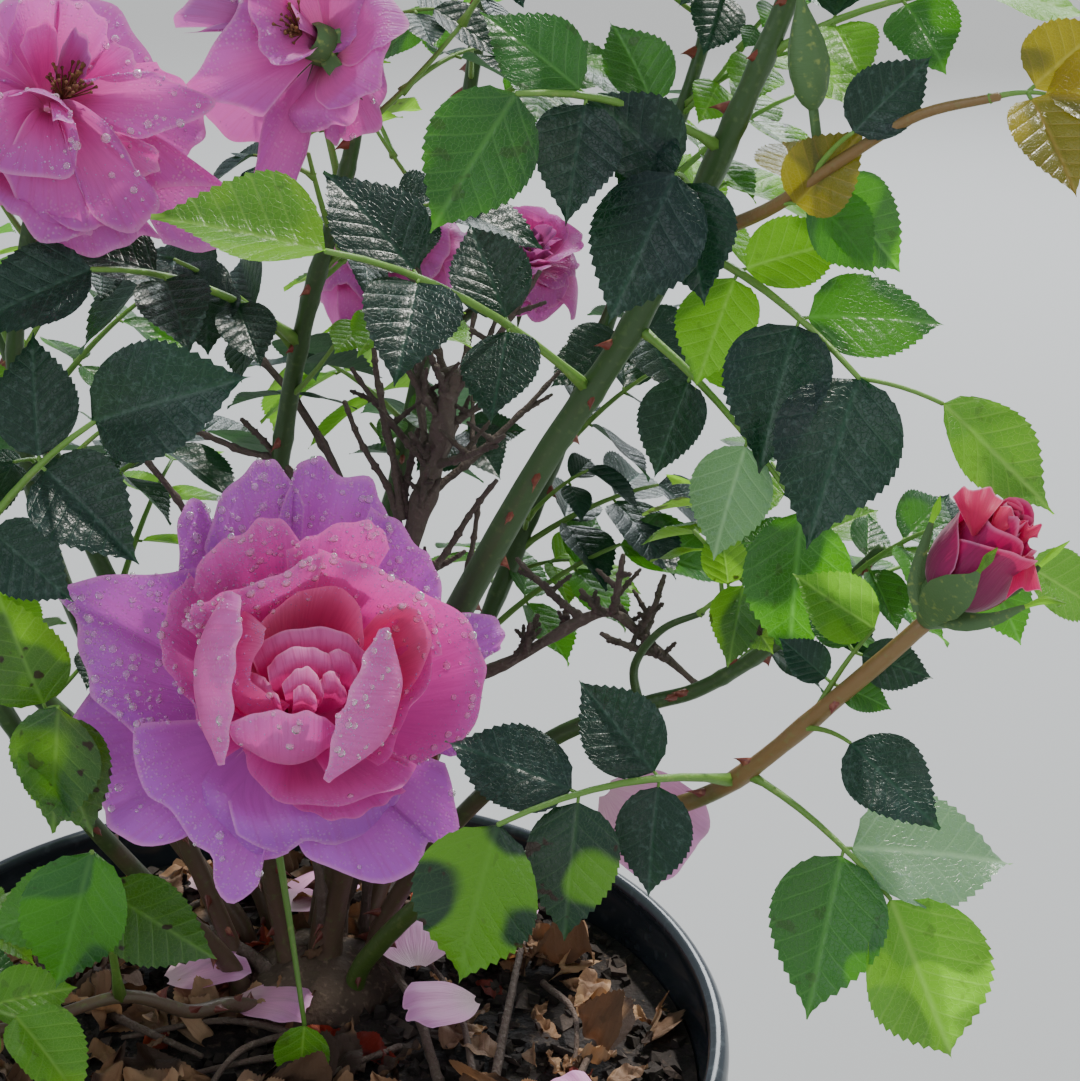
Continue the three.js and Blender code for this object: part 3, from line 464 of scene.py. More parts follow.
petalLooks = {  # foot, middle, rim and the light that passes through
    "inner": ([(250, 160, 208), (244, 140, 204), (244, 160, 216), (255, 84, 168)],
              {"through": 0.5}),
    "heart": ([(204, 48, 122), (210, 66, 154), (230, 120, 196), (250, 56, 160)],
              {"through": 0.35}),
    "cup": ([(250, 126, 196), (234, 96, 190), (226, 124, 212), (255, 70, 190)],
            {"through": 0.36, "dew": 0.5}),
    "outer": ([(236, 130, 190), (210, 98, 208), (194, 104, 228), (236, 92, 215)],
              {"through": 0.34, "dew": 0.6}),
    "pale": ([(228, 128, 164), (218, 94, 182), (198, 100, 204), (245, 110, 196)],
             {"through": 0.42, "dew": 0.6, "wilt": 0.35}),
    "wilted": ([(130, 66, 60), (190, 98, 164), (176, 110, 188), (215, 104, 180)],
               {"through": 0.4, "wilt": 0.8}),
    "crimson": ([(112, 6, 60), (136, 4, 84), (170, 0, 100), (230, 0, 96)],
                {"through": 0.26}),
    "flare": ([(164, 0, 70), (206, 0, 84), (226, 0, 108), (255, 0, 104)],
              {"through": 0.36}),
    "fallen": ([(240, 208, 216), (234, 160, 206), (224, 150, 210), (240, 160, 205)],
               {"through": 0.2, "wilt": 0.3}),
}
petalKinds = {kind: petalMaterial("petal" + kind.capitalize(), *[rgb(*colour) for colour in colours], **look)
              for kind, (colours, look) in petalLooks.items()}


def barkMaterial(name, low, high, level, rough, fleckAndSunPatch, grainBump=0.25):
    material, tree = newMaterial(name)
    spread = mottled(tree, 60.0, 500.0)
    lift = plus(tree, axisPart(tree, objectPlace(tree))[2], times(tree, spread["Patch"], 0.03))
    colour = mixed(tree, ramp(tree, lift, *level), rgb(*low), rgb(*high))
    colour = mixed(tree, times(tree, ramp(tree, spread["Grain"], 0.55, 0.75), 0.4), colour, rgb(*fleckAndSunPatch))
    ridges = node(tree, "ShaderNodeMapping", {"Vector": grownMap(tree), "Scale": (9.0, 60.0, 1.0)})
    ridge = noise(tree, ridges.outputs[0], 1.0, 3.0, noise_dimensions="2D")
    normal = bumped(tree, plus(tree, ridge, spread["Grain"]), grainBump, 0.0008)
    finishMaterial(tree, principled(tree, Base_Color=colour, Roughness=rough, Normal=normal).outputs[0])
    return material


barkLooks = {  # colour below and above, metres between them, roughness, flecks, relief
    "caneGreen": [(96, 78, 64), (58, 88, 44), (0.27, 0.34), 0.4, (96, 120, 66)],
    "caneBronze": [(74, 98, 44), (132, 104, 62), (0.31, 0.36), 0.4, (120, 130, 76)],
    "shootGreen": [(96, 138, 56), (112, 156, 66), (0.2, 0.5), 0.45, (150, 170, 90)],
    "thornRed": [(104, 52, 46), (128, 58, 46), (0.25, 0.45), 0.4, (200, 140, 110)],
    "deadGrey": [(96, 80, 72), (108, 94, 88), (0.25, 0.42), 0.85, (146, 134, 124), 0.9],
    "crownBark": [(66, 52, 44), (92, 76, 64), (0.22, 0.26), 0.85, (150, 130, 110), 0.9],
    "sepalGreen": [(54, 86, 58), (78, 112, 62), (0.3, 0.44), 0.55, (180, 190, 90)],
    "stamenBrown": [(84, 50, 34), (112, 70, 40), (0.3, 0.6), 0.8, (170, 120, 60)],
    "barkChip": [(38, 32, 32), (72, 60, 54), (0.215, 0.236), 0.85, (128, 108, 90), 0.8],
    "soilCrumb": [(28, 25, 25), (48, 41, 38), (0.215, 0.236), 0.95, (74, 62, 54), 0.8],
}
barkKinds = {name: barkMaterial(name, *look) for name, look in barkLooks.items()}
print("materials made")


def leaf(at, toward, rise, stalk, blade, hang, head, lean, pairs=2):
    return {"at": at, "toward": toward, "rise": rise, "stalk": stalk, "blade": blade,
            "hang": hang, "head": head, "lean": lean, "pairs": pairs}


def seeding(seed, start, end, count, turn, blade, stalk):
    return {"seed": seed, "from": start, "to": end, "count": count,
            "turn": turn, "blade": blade, "stalk": stalk}


# the bush: paths from the crown to the tips, radius at each end, leaves placed one by one or by seed
canes = [
  {
    "name": "right_tall", "thick": [5.6, 1.7], "bare": 0.43,
    "path": [
      [12, 45, 223], [17, 45, 256], [32, 34, 304], [59, 15, 365], [84, 8, 414],
      [109, 0, 457], [132, -8, 510], [150, -14, 560], [163, -20, 610], [170, -26, 655],
    ],
    "leaves": [
      leaf(0.5, 223, 31, 101, 43, 14, 180, 40),
      leaf(0.55, 332, -42, 66, 40, -74, 250, 60),
      leaf(0.6, 313, -21, 65, 44, -50, 237, 55),
      leaf(0.62, 256, 24, 34, 38, -54, 225, 65, 1),
      leaf(0.65, 218, 17, 68, 38, -52, 205, 60),
      leaf(0.7, 339, 20, 52, 34, -4, 356, 30),
    ],
    "seeded": seeding(11, 0.74, 1, 9, 60, 38, 56),
    "shoots": [
      {
        "from": 0.605, "thick": [2, 1],
        "path": [[124, -5, 479], [139, -30, 492], [151, -45, 505], [167, -60, 519], [183, -70, 525]],
        "leaves": [
          leaf(0.97, 340, 8, 12, 34, -3, 352, 40, 1),
          leaf(0.4, 300, 42, 22, 24, 50, 349, 70, 0),
          leaf(0.2, 300, 20, 16, 27, 46, 318, 70, 0),
          leaf(0.22, 40, 10, 22, 32, -42, 0, 50, 1),
        ],
        "bud": {"from": 0.46, "axis": [-0.16, 0.06, 0.98], "stem": 16},
      },
    ],
  },
  {
    "name": "right_bud", "thick": [3.3, 2.2], "bare": 0.5,
    "path": [
      [22, 36, 223], [29, 32, 240], [52, 20, 270], [89, 0, 297], [114, -10, 314],
      [136, -25, 333], [165, -45, 373], [179, -52.5, 392],
    ],
    "leaves": [
      leaf(0.715, 218, 10, 82, 45, -72, 206, 60),
      leaf(0.73, 318, -23, 52, 52, -66, 333, 45, 1),
      leaf(0.79, 295, 16, 24, 33, -30, 321, 35, 0),
      leaf(0.8, 345, 62, 32, 24, 30, 170, 60),
    ],
  },
  {
    "name": "right_low", "thick": [3.3, 1.6], "bare": 0.62,
    "path": [
      [27, 49, 223], [33, 48, 244], [52, 40, 278], [84, 20, 321], [112, 15, 336],
      [129, 10, 344], [148, 2, 361], [166, -4, 382], [176, -6, 394],
    ],
    "leaves": [
      leaf(0.98, 8, -8, 44, 30, -30, 0, 45),
      leaf(0.86, 110, 30, 48, 34, 0, 100, 30),
    ],
    "seeded": seeding(23, 0.66, 0.94, 3, 60, 34, 44),
    "shoots": [
      {
        "from": 0.5, "thick": [1.5, 0.9],
        "path": [[112, 15, 336], [110, 8, 352], [117, 2, 366], [128, -4, 374]],
        "leaves": [
          leaf(0.97, 337, 40, 16, 24, -50, 250, 70, 1),
        ],
      },
    ],
  },
  {
    "name": "front_main", "thick": [3.2, 2.3], "bare": 0.5,
    "path": [[2, 40, 223], [0, 41, 246], [-2, 34, 276], [3, 14, 310], [10, -8, 336], [15.2, -21.2, 350]],
    "leaves": [
      leaf(0.57, 290, -60, 68, 24, -76, 240, 70, 0),
      leaf(0.72, 120, 20, 42, 34, 0, 120, 20, 1),
    ],
  },
  {
    "name": "left_tall", "thick": [3.8, 1.8], "bare": 0.4,
    "path": [
      [1, 57, 223], [-4, 59, 246], [-6, 63, 300], [-2, 63, 355], [7, 60, 409],
      [16, 48, 445], [28, 35, 481], [34, 25, 504], [33, 15, 521],
    ],
    "leaves": [
      leaf(0.59, 240, 25, 93, 36, -18, 200, 35),
    ],
    "seeded": seeding(37, 0.45, 0.9, 5, 75, 34, 50),
  },
  {
    "name": "left_front", "thick": [3.4, 1.6], "bare": 0.36,
    "path": [
      [-12, 35, 223], [-18, 32, 240], [-38, 12, 282], [-58, -14, 335], [-74, -32, 390],
      [-92, -44, 450], [-106, -50, 505], [-112, -52, 540],
    ],
    "leaves": [
      leaf(0.57, 338, 46, 77, 40, 20, 344, 55),
      leaf(0.44, 300, 36, 47, 38, -78, 231, 65, 1),
    ],
    "seeded": seeding(41, 0.46, 1, 7, 160, 38, 54),
  },
  {
    "name": "low_shoot", "thick": [2.6, 1.5], "bare": 0.3,
    "path": [
      [-3, 27, 223], [-13, 11, 236], [-23, 0, 241], [-41, -10, 253], [-75, -22, 250],
      [-112, -36, 268],
    ],
    "leaves": [
      leaf(0.6, 278, 62, 80, 42, -68, 227, 65, 1),
    ],
    "seeded": seeding(53, 0.82, 1, 3, 200, 36, 50),
  },
  {
    "name": "left_bloom", "thick": [3.2, 1.9], "bare": 0.45,
    "path": [
      [-14, 46, 223], [-20, 46, 244], [-36, 40, 300], [-54, 22, 370], [-59, 8, 430],
      [-50, 0, 476], [-42, -3, 493],
    ],
    "seeded": seeding(61, 0.5, 0.92, 5, 100, 37, 52),
  },
  {
    "name": "left_mid", "thick": [3.4, 1.9], "bare": 0.32,
    "path": [
      [-12, 57, 223], [-20, 59, 242], [-60, 62, 300], [-108, 52, 352], [-146, 34, 402],
      [-172, 18, 458], [-180, 10, 486],
    ],
    "seeded": seeding(71, 0.36, 0.96, 9, 30, 38, 54),
  },
  {
    "name": "left_back", "thick": [3.8, 1.9], "bare": 0.32,
    "path": [
      [-6, 66, 223], [-12, 71, 244], [-50, 96, 318], [-84, 116, 396], [-108, 126, 474],
      [-126, 130, 548], [-132, 130, 584],
    ],
    "seeded": seeding(83, 0.35, 0.97, 10, 70, 39, 55),
  },
  {
    "name": "back_middle", "thick": [3.8, 1.9], "bare": 0.33,
    "path": [
      [8, 69, 223], [11, 75, 244], [22, 100, 310], [36, 124, 372], [48, 134, 425],
      [58, 142, 480], [66, 146, 530], [70, 148, 560],
    ],
    "seeded": seeding(97, 0.36, 1, 10, 10, 38, 54),
  },
  {
    "name": "back_right", "thick": [3.6, 1.8], "bare": 0.33,
    "path": [
      [24, 61, 223], [29, 67, 242], [56, 90, 306], [88, 112, 380], [116, 128, 452],
      [138, 138, 520], [146, 140, 552],
    ],
    "seeded": seeding(103, 0.36, 1, 10, 40, 39, 55),
  },
]
deadStub = {
  "thick": [6, 4.6], "bare": 0.62,
  "path": [[13, 58, 223], [18, 60, 250], [32, 63, 310], [42, 62, 364], [52, 60, 398], [57, 60, 424]],
  "twigs": {"seed": 5, "count": 7, "long": 56},
}
deadBranch = {
  "thick": [3.6, 1.6],
  "path": [[33, 62, 312], [50, 48, 326], [72, 35, 340], [101, 30, 359], [114, 26, 352], [130, 24, 338]],
  "twigs": {"seed": 9, "count": 5, "long": 26},
}
blooms = [
  {"name": "bloom_main", "cane": "front_main", "axis": [0.05, -0.73, 0.68], "radius": 51},
  {"name": "bloom_left", "cane": "left_bloom", "axis": [0.3, -0.42, 0.86], "radius": 42, "droop": 0.3},
  {"name": "bloom_hanging", "cane": "left_tall", "axis": [-0.62, -0.62, 0.48], "radius": 36, "droop": 0.5},
  {"name": "bloom_far_left", "cane": "left_mid", "axis": [-0.5, -0.3, 0.81], "radius": 40, "droop": 0.1},
  {"name": "bloom_back_left", "cane": "left_back", "axis": [-0.25, 0.25, 0.93], "radius": 42},
  {
    "name": "bloom_back", "cane": "back_middle", "from": 0.5, "axis": [-0.2, -0.55, 0.81],
    "stem": [-4, -8, 38], "radius": 26, "droop": 0.2,
  },
  {
    "name": "bloom_back_right", "cane": "back_middle", "from": 0.53, "axis": [0.3, -0.5, 0.81],
    "stem": [29, 9, 20], "radius": 22, "droop": 0.3,
  },
]
redBud = {"cane": "right_bud", "axis": [0.45, -0.27, 0.85], "radius": 13.5}

seat = 0.3
hipLength = 11
bladeWidth = 0.66
bladeSag = 0.1
sidePairs = [{"at": 0.68, "open": 60, "size": 0.88}, {"at": 0.34, "open": 68, "size": 0.74}]
leafRule = {
    "clearance": 9.5, "tries": 6, "turn": 61, "reach": 258, "height": 705, "potRadius": 156, "potTop": 252,
    "openSpace": (22, -118, 424, 62),  # right, back, up and radius of the air kept free
}
taken = {"points": [], "radii": [], "owners": []}


def take(points, radii, owner):
    points = np.asarray(points, float).reshape(-1, 3)
    taken["points"].append(points)
    taken["radii"].append(np.broadcast_to(radii, len(points)))
    taken["owners"] += [owner] * len(points)


def leafPlan(foot, spec, draw):
    end = foot + heading(spec["toward"], spec["rise"]) * spec["stalk"]
    stalk = lineOf(foot, end, 0.13 * spec["stalk"])
    facing = spec["facing"]
    leaflets = []

    def leaflet(base, along, size, tilt):
        twist = (draw() - 0.5) * 0.5
        stretch = 0.92 + 0.14 * draw()
        flat = squareTo(facing + tilt, along)
        face = unit(flat + np.cross(flat, along) * twist)
        leaflets.append({"base": base, "along": along, "face": face, "long": spec["blade"] * size * stretch})

    leaflet(end, heading(spec.get("head", spec["toward"]), spec["hang"]), 1, vec(0, 0, 0))
    sag = max(0, (spec["rise"] - spec["hang"]) * 0.006)
    for pair in sidePairs[:spec.get("pairs", 2)]:
        along = dirOf(stalk, pair["at"])
        face = squareTo(facing, along)
        across = np.cross(face, along)
        opening = math.radians(pair["open"])
        for hand in (1, -1):
            lead = unit(along * math.cos(opening) + across * hand * math.sin(opening) + vec(0, 0, -sag))
            leaflet(stalk(pair["at"])[0], lead, pair["size"], across * hand * 0.25)
    return {"stalk": stalk, "leaflets": leaflets, "kind": spec.get("kind"), "foot": foot,
            "size": spec["stalk"]}


def leafPoints(plan):
    points = [plan["stalk"]([0.4, 0.7, 1])]
    for one in plan["leaflets"]:
        across = np.cross(one["face"], one["along"])
        for u, v in ((0, 0.3), (0, 0.65), (0, 1), (0.45, 0.3), (-0.45, 0.3), (0.4, 0.66), (-0.4, 0.66)):
            points.append(one["base"] + one["along"] * one["long"] * v + across * one["long"] * bladeWidth * u
                          - one["face"] * one["long"] * bladeSag * v * v)
    return np.vstack(points)


def isFree(points, owner, clearance):
    flat = np.hypot(points[:, 0], points[:, 1])
    if (flat > leafRule["reach"]).any() or (points[:, 2] > leafRule["height"]).any():
        return False
    if ((flat < leafRule["potRadius"]) & (points[:, 2] < leafRule["potTop"])).any():
        return False
    mine = np.array([name != owner for name in taken["owners"]])
    others = np.vstack(taken["points"])[mine]
    room = np.concatenate(taken["radii"])[mine] + clearance
    far = np.linalg.norm(points[:, None] - others[None], axis=2)
    return bool((far > room[None]).all())


def taper(thick):
    return lambda t: thick[0] + (thick[1] - thick[0]) * t


def tipSeat(at, radius, axis):
    lean = math.acos(max(-1, min(1, float(axis @ dirOf(at, 1)))))
    return at(1)[0] + axis * (seat + radius * math.sin(min(lean, math.pi / 2)))


caneByName = {cane["name"]: cane for cane in canes}
for cane in canes:
    cane["curve"] = pathOf(cane["path"])
for bloom in blooms:
    cane = caneByName[bloom["cane"]]
    bloom["direction"] = unit(vec(*bloom["axis"]))
    end, thick = cane["curve"], cane["thick"][1]
    if "stem" in bloom:
        foot = cane["curve"](bloom["from"])[0]
        stem = vec(*bloom["stem"])
        bloom["stalk"] = end = bowOf(foot, foot + stem / 2 + vec(0, 0, 3), foot + stem)
        thick = 1.8
    bloom["hip"] = tipSeat(end, thick, bloom["direction"])
    bloom["middle"] = bloom["hip"] + bloom["direction"] * (hipLength + bloom["radius"] * 0.4)

share = np.linspace(0, 1, 41)
for cane in canes:
    take(cane["curve"](share), taper(cane["thick"])(share), cane["name"])
    for shoot in cane.get("shoots", []):
        shoot["curve"] = pathOf(shoot["path"])
        part = np.linspace(0, 1, 13)
        take(shoot["curve"](part), taper(shoot["thick"])(part), cane["name"])
deadStub["curve"], deadBranch["curve"] = pathOf(deadStub["path"]), pathOf(deadBranch["path"])
for wood, (low, high) in ((deadStub, (8, 14)), (deadBranch, (4, 10))):
    wide = wood["thick"][0] + low, wood["thick"][1] + high
    take(wood["curve"](share), taper(wide)(share), "dead wood")
for bloom in blooms:
    take(bloom["middle"], bloom["radius"] * 0.95, bloom["name"])
    if "stalk" in bloom:
        take(bloom["stalk"](np.linspace(0, 1, 7)), 1.8, bloom["cane"])
redBudAxis = unit(vec(*redBud["axis"]))
redBudHip = tipSeat(caneByName[redBud["cane"]]["curve"], caneByName[redBud["cane"]]["thick"][1], redBudAxis)
take(redBudHip + redBudAxis * 22, 22, "red bud")
take(leafRule["openSpace"][:3], leafRule["openSpace"][3], "open")


def placedLeaves(cane, curve, specs, draw):
    for spec in specs:
        lean = math.radians(spec["lean"])
        facing = vec(0, -math.sin(lean), math.cos(lean))
        plan = leafPlan(curve(spec["at"])[0], {**spec, "facing": facing}, draw)
        take(leafPoints(plan), 0, cane["name"])
        cane["plans"].append(plan)


for cane in canes:
    cane["plans"] = []
    draw = series(len(cane["path"]) * 1000 + len(cane["name"]))
    placedLeaves(cane, cane["curve"], cane.get("leaves", []), draw)
    for shoot in cane.get("shoots", []):
        placedLeaves(cane, shoot["curve"], shoot.get("leaves", []), draw)

placedKinds = {  # finish of each placed leaf, end leaflet first; lit, mid, dark and shaded are painted sunlight, half light and shade
    "right_tall": ["lit dark dark dark dark", "mid dark silver lit dark", "dark mid dark lit lit", "dark",
                   "mid dark mid dark mid", "lit dark mid dark lit", "bronze", "dark", "bronze",
                   "mid bronze mid"],
    "right_bud": ["shaded shaded dark dark dark", "lit silver mid", "dark", "lit mid dark dark mid"],
    "right_low": ["lit lit mid dark mid", "mid lit dark mid lit", "spotted"],
    "front_main": ["lit", "dark"],
    "left_tall": ["dark"],
    "left_front": ["dark dark dark mid dark", "spotted"],
    "low_shoot": ["mid mid spotted"],
}
for cane in canes:
    for plan, kind in zip(cane["plans"], placedKinds.get(cane["name"], [])):
        plan["kind"] = kind

# seeded leaves take turns of painted shade (dark), half light (mid) and painted sunlight (lit)
kindOrder = ["dark", "mid", "dark", "lit", "dark", "mid", "spotted", "dark", "mid", "lit"]


def growLeaf(cane, foot, spec, draw, owner, clearance):  # kept only where it is free of the rest
    plan = leafPlan(foot, spec, draw)
    points = leafPoints(plan)
    free = isFree(points, owner, clearance)
    if free:
        take(points, 0, cane["name"])
        cane["plans"].append(plan)
    return free


seededCanes = [(number, cane, cane["seeded"]) for number, cane in enumerate(canes) if "seeded" in cane]
for number, cane, rule in seededCanes:
    for k in range(rule["count"]):
        draw = series(rule["seed"] * 1000 + k * 17)
        up = k / rule["count"]
        at = rule["from"] + (rule["to"] - rule["from"]) * (k + 0.7 * draw()) / rule["count"]
        rise = 18 + 26 * draw() + 22 * up ** 2
        spec = {"rise": rise, "stalk": rule["stalk"] * (0.85 + 0.3 * draw()) * (1 - 0.25 * up)}
        spec["blade"] = rule["blade"] * (0.88 + 0.22 * draw()) * (1 - 0.15 * up)
        spec["hang"] = rise - 38 - 34 * draw()
        spec["kind"] = kindOrder[(k * 3 + number) % len(kindOrder)]
        wander = 30 * (draw() - 0.5)
        for attempt in range(leafRule["tries"]):
            spec["toward"] = rule["turn"] + spiral * k + wander + leafRule["turn"] * attempt
            spec["facing"] = unit(heading(spec["toward"], 0) * 0.55 + vec(0, -0.15, 0.8))
            if growLeaf(cane, cane["curve"](at)[0], spec, draw, cane["name"], leafRule["clearance"]):
                break
print("leaves planned:", sum(len(cane["plans"]) for cane in canes))

# finer growth: short side twigs with small leaves fill in between the main leaves
twigRule = {"every": 0.062, "long": 34, "blade": 22, "stalk": 24, "clearance": 4.5,
            "leaves": (0.45, 0.75, 1.0)}
sideTwigs = []
for number, cane, rule in seededCanes:
    at, k = max(rule["from"], cane["bare"]) + 0.02, 0
    while at < 0.97:
        draw = series(rule["seed"] * 77 + k * 31)
        foot = cane["curve"](at)[0]
        toward = rule["turn"] + 222.5 * k + 40 * draw()
        rise = 30 + 25 * draw()
        long = twigRule["long"] * (0.6 + 0.7 * draw())
        tip = foot + heading(toward, rise) * long
        twig = lineOf(foot, tip, -0.08 * long)
        grown = 0
        for j, place in enumerate(twigRule["leaves"]):
            spec = {"pairs": 1 + (j == 2), "kind": kindOrder[(k + j * 2 + number) % len(kindOrder)]}
            spec["toward"] = toward + (70, -75, 0)[j] + 30 * (draw() - 0.5)
            spec["rise"] = 15 + 35 * draw()
            spec["stalk"] = twigRule["stalk"] * (0.7 + 0.5 * draw())
            spec["blade"] = twigRule["blade"] * (0.8 + 0.45 * draw())
            spec["hang"] = -30 + 30 * draw()
            spec["facing"] = unit(heading(spec["toward"], 0) * 0.5 + vec(0, -0.15, 0.85))
            grown += growLeaf(cane, twig(place)[0], spec, draw, "twig", twigRule["clearance"])
        if grown:
            sideTwigs.append(twig)
        at += twigRule["every"] * (0.8 + 0.4 * draw())
        k += 1
print("with side twigs:", sum(len(cane["plans"]) for cane in canes), "leaves on", len(sideTwigs), "twigs")

# leaflets: toothed blades, folded at the midrib, waved and hanging a little
leafShape = {"teeth": 18, "columns": (-1, -0.68, -0.34, 0, 0.34, 0.68, 1), "tooth": 0.012, "width": 0.7}
leafRows = 2 * leafShape["teeth"] + 1
leafU, leafV = np.meshgrid(np.array(leafShape["columns"]), np.linspace(0, 1, leafRows))
leafQuads = gridFaces(leafRows, len(leafShape["columns"]))[:, ::-1]
looks = np.random.default_rng(4)


def addLeaflet(heap, base, along, face, long, sag=1.0, curl=1.0, width=None, crumple=0.0):
    across = np.cross(face, along)
    u, v = leafU, leafV.copy()
    outline = np.sin(math.pi * np.clip(v, 0, 1) ** 0.74) ** (0.74 + 0.7 * v ** 2)
    half = outline * (width or leafShape["width"]) / 2
    half = np.maximum(half, 0.004)
    rim = np.abs(u) > 0.99
    peak = (np.arange(leafRows) % 2 == 1)[:, None] & rim
    keen = np.clip(half / 0.14, 0.15, 1)
    x = u * half + np.sign(u) * peak * leafShape["tooth"] * keen
    v = v + (peak * 0.02 - (rim & ~peak) * 0.004) * keen
    fold, wave, phase = looks.uniform(0.12, 0.6) * curl, looks.uniform(0.01, 0.036), looks.uniform(0, 6.3)
    drop = bladeSag * sag * looks.uniform(0.7, 1.8)
    lift = fold * np.abs(x) - drop * v ** 2 - 0.10 * (np.abs(u) ** 3) * half
    lift = lift + wave * np.sin(9 * v + phase + 1.3 * np.sign(u)) * np.abs(u) ** 1.5
    lift = lift + looks.uniform(-0.08, 0.08) * x * v * 2
    lift = lift + crumple * (np.sin(11 * v + phase) * np.cos(3.4 * u + 2 * phase)
                             + 0.5 * np.sin(19 * v + 4 * u + phase))
    x = x + looks.uniform(-0.05, 0.05) * v ** 2
    points = base + long * (np.multiply.outer(v, along) + np.multiply.outer(x, across)
                            + np.multiply.outer(lift, face))
    addPart(heap, points, leafQuads, np.stack([0.5 + u * half, leafV], -1))


sideStalk = 2.2
leafHeaps = {kind: newHeap() for kind in leafKinds}
stalkHeap = newHeap()
for cane in canes:
    for plan in cane["plans"]:
        kinds = (plan["kind"] or "dark").split()
        thick = 0.55 + 0.55 * min(1, plan["size"] / 70)
        addTube(stalkHeap, plan["stalk"], lambda t: thick * (1.25 - 0.6 * t + (0.8 if t < 0.06 else 0)), 6, 8)
        for n, one in enumerate(plan["leaflets"]):
            gap = sideStalk if n else 0  # side leaflets stand on a short stalk of their own
            base = one["base"] + one["along"] * gap
            if n:
                addTube(stalkHeap, lineOf(one["base"], base), lambda t: 0.5, 5, 1)
            addLeaflet(leafHeaps[kinds[n % len(kinds)]], base, one["along"], one["face"], one["long"] - gap)

perch = caneByName["right_tall"]["plans"][2]["leaflets"][0]["base"]
litFoot, litAlong = perch + vec(21, 2, -7), unit(vec(0.72, -0.12, -0.66))
addTube(stalkHeap, lineOf(perch, litFoot, 2), lambda t: 0.6, 6, 6)
addLeaflet(leafHeaps["lit"], litFoot, litAlong, squareTo(vec(0.1, -0.75, 0.6), litAlong), 40, sag=0.4,
           width=0.5)

leafNodes = ["leaves_" + cane["name"] for cane in canes]
for kind in ("dark", "mid", "lit", "spotted", "bronze", "silver", "shaded"):
    if leafHeaps[kind]["count"]:
        makePiece("leaves_" + kind, leafHeaps[kind], leafKinds[kind], leafNodes)

# canes: swollen at the leaf joints, with hooked prickles
prickle = {"every": 15, "long": 5.2, "base": 1.9}
caneHeap, bronzeHeap, prickleHeap = newHeap(), newHeap(), newHeap()


def addPrickle(at, t, radius, angle, long):
    along = dirOf(at, t)
    side, across = axisFrame(along)
    out = side * math.cos(angle) + across * math.sin(angle)
    foot = at(t)[0] + out * radius * 0.75
    sideways = np.cross(along, out)
    rings = []
    for level in (0, 0.25, 0.55, 0.8, 1):
        centre = foot + out * long * level - along * long * 0.42 * level ** 2
        wide = prickle["base"] * (1 - level) ** 1.3 + 0.04
        rings.append(ringOf(centre, along, sideways, around(6), wide * 1.35, wide * 0.7))
    addPart(prickleHeap, np.vstack(rings), gridFaces(5, 6, True))


for number, cane in enumerate(canes):
    curve, size = cane["curve"], taper(cane["thick"])
    line = curve(np.linspace(0, 1, 300))
    joints = [np.argmin(np.linalg.norm(line - plan["foot"], axis=1)) / 299 for plan in cane["plans"]]
    bumps = wobble(number + 3)

    def radiusAt(t, size=size, joints=np.array(joints or [2.0])):
        swell = 0.16 * np.exp(-((t - joints) / 0.008) ** 2).max()
        return size(t) * (1 + swell) + 1.6 * math.exp(-(t / 0.03) ** 2)

    def relief(t, angles, bumps=bumps):
        return 1 + 0.035 * bumps(np.cos(angles) * 2 + t * 40, np.sin(angles) * 2)

    length = np.linalg.norm(np.diff(curve(np.linspace(0, 1, 60)), axis=0), axis=1).sum()
    heap = bronzeHeap if cane["name"] == "right_bud" else caneHeap
    addTube(heap, curve, radiusAt, 14, int(length / 3.2), relief=relief)
    for shoot in cane.get("shoots", []):
        heap = bronzeHeap if cane["name"] == "right_tall" else caneHeap
        addTube(heap, shoot["curve"], taper(shoot["thick"]), 9, 26)
    rng = np.random.default_rng(number + 40)
    for t in np.arange(0.06, 0.94, prickle["every"] / length):
        t = t + rng.uniform(-0.4, 0.4) * prickle["every"] / length
        angle = rng.uniform(0, 6.28)
        long = prickle["long"] * rng.uniform(0.5, 1.1) * min(1.15, 0.5 + size(t) / 6)
        addPrickle(curve, t, size(t), angle, long)
for bloom in blooms:
    if "stalk" in bloom:
        addTube(caneHeap, bloom["stalk"], lambda t: 1.8, 9, 14)
for twig in sideTwigs:
    addTube(stalkHeap, twig, lambda t: 1.0 - 0.4 * t, 6, 8)
caneNodes = ["cane_" + cane["name"] for cane in canes]
greenNodes = [name for name in caneNodes if name != "cane_right_bud"]
makePiece("canes", caneHeap, barkKinds["caneGreen"], greenNodes)
makePiece("cane_bronze", bronzeHeap, barkKinds["caneBronze"], ["cane_right_bud"])
makePiece("prickles", prickleHeap, barkKinds["thornRed"])
makePiece("leaf_stalks", stalkHeap, barkKinds["shootGreen"], leafNodes)

# dead wood: knotted stub with a fan of twigs, and the dead side branch
deadHeap = newHeap()


def knotty(seed):
    bumps = wobble(seed, 8)
    return lambda t, angles: 1 + 0.3 * bumps(np.cos(angles) * 2.2 + t * 34, np.sin(angles) * 2.2 - t * 20)


def jointed(thick, joints):  # tapering twig with a knob at each old bud
    wide = taper(thick)
    return lambda t: wide(t) * (1 + 0.45 * math.exp(-((t * joints % 1 - 0.5) / 0.09) ** 2))


def addDeadTwigs(curve, rule, start):
    draw = series(rule["seed"])
    for k in range(rule["count"]):
        foot = curve(start + (0.97 - start) * (k + draw()) / rule["count"])[0]
        lead = heading(spiral * k + 40 * draw(), 25 + 40 * draw())
        reach = rule["long"] * (0.6 + 0.5 * draw())
        tip = foot + lead * reach
        twig = lineOf(foot, tip, -0.08 * reach)
        addTube(deadHeap, twig, jointed((1.4, 0.7), 5), 7, 34, relief=knotty(k + 5))
        for m, share in enumerate((0.35, 0.5, 0.72)):
            fork = twig(share)[0]
            end = fork + heading(spiral * k + 90 + 150 * m, 50 - 15 * m) * reach * (0.4 - 0.1 * m)
            addTube(deadHeap, lineOf(fork, end), jointed((0.95, 0.5), 3), 6, 18, relief=knotty(k + m))


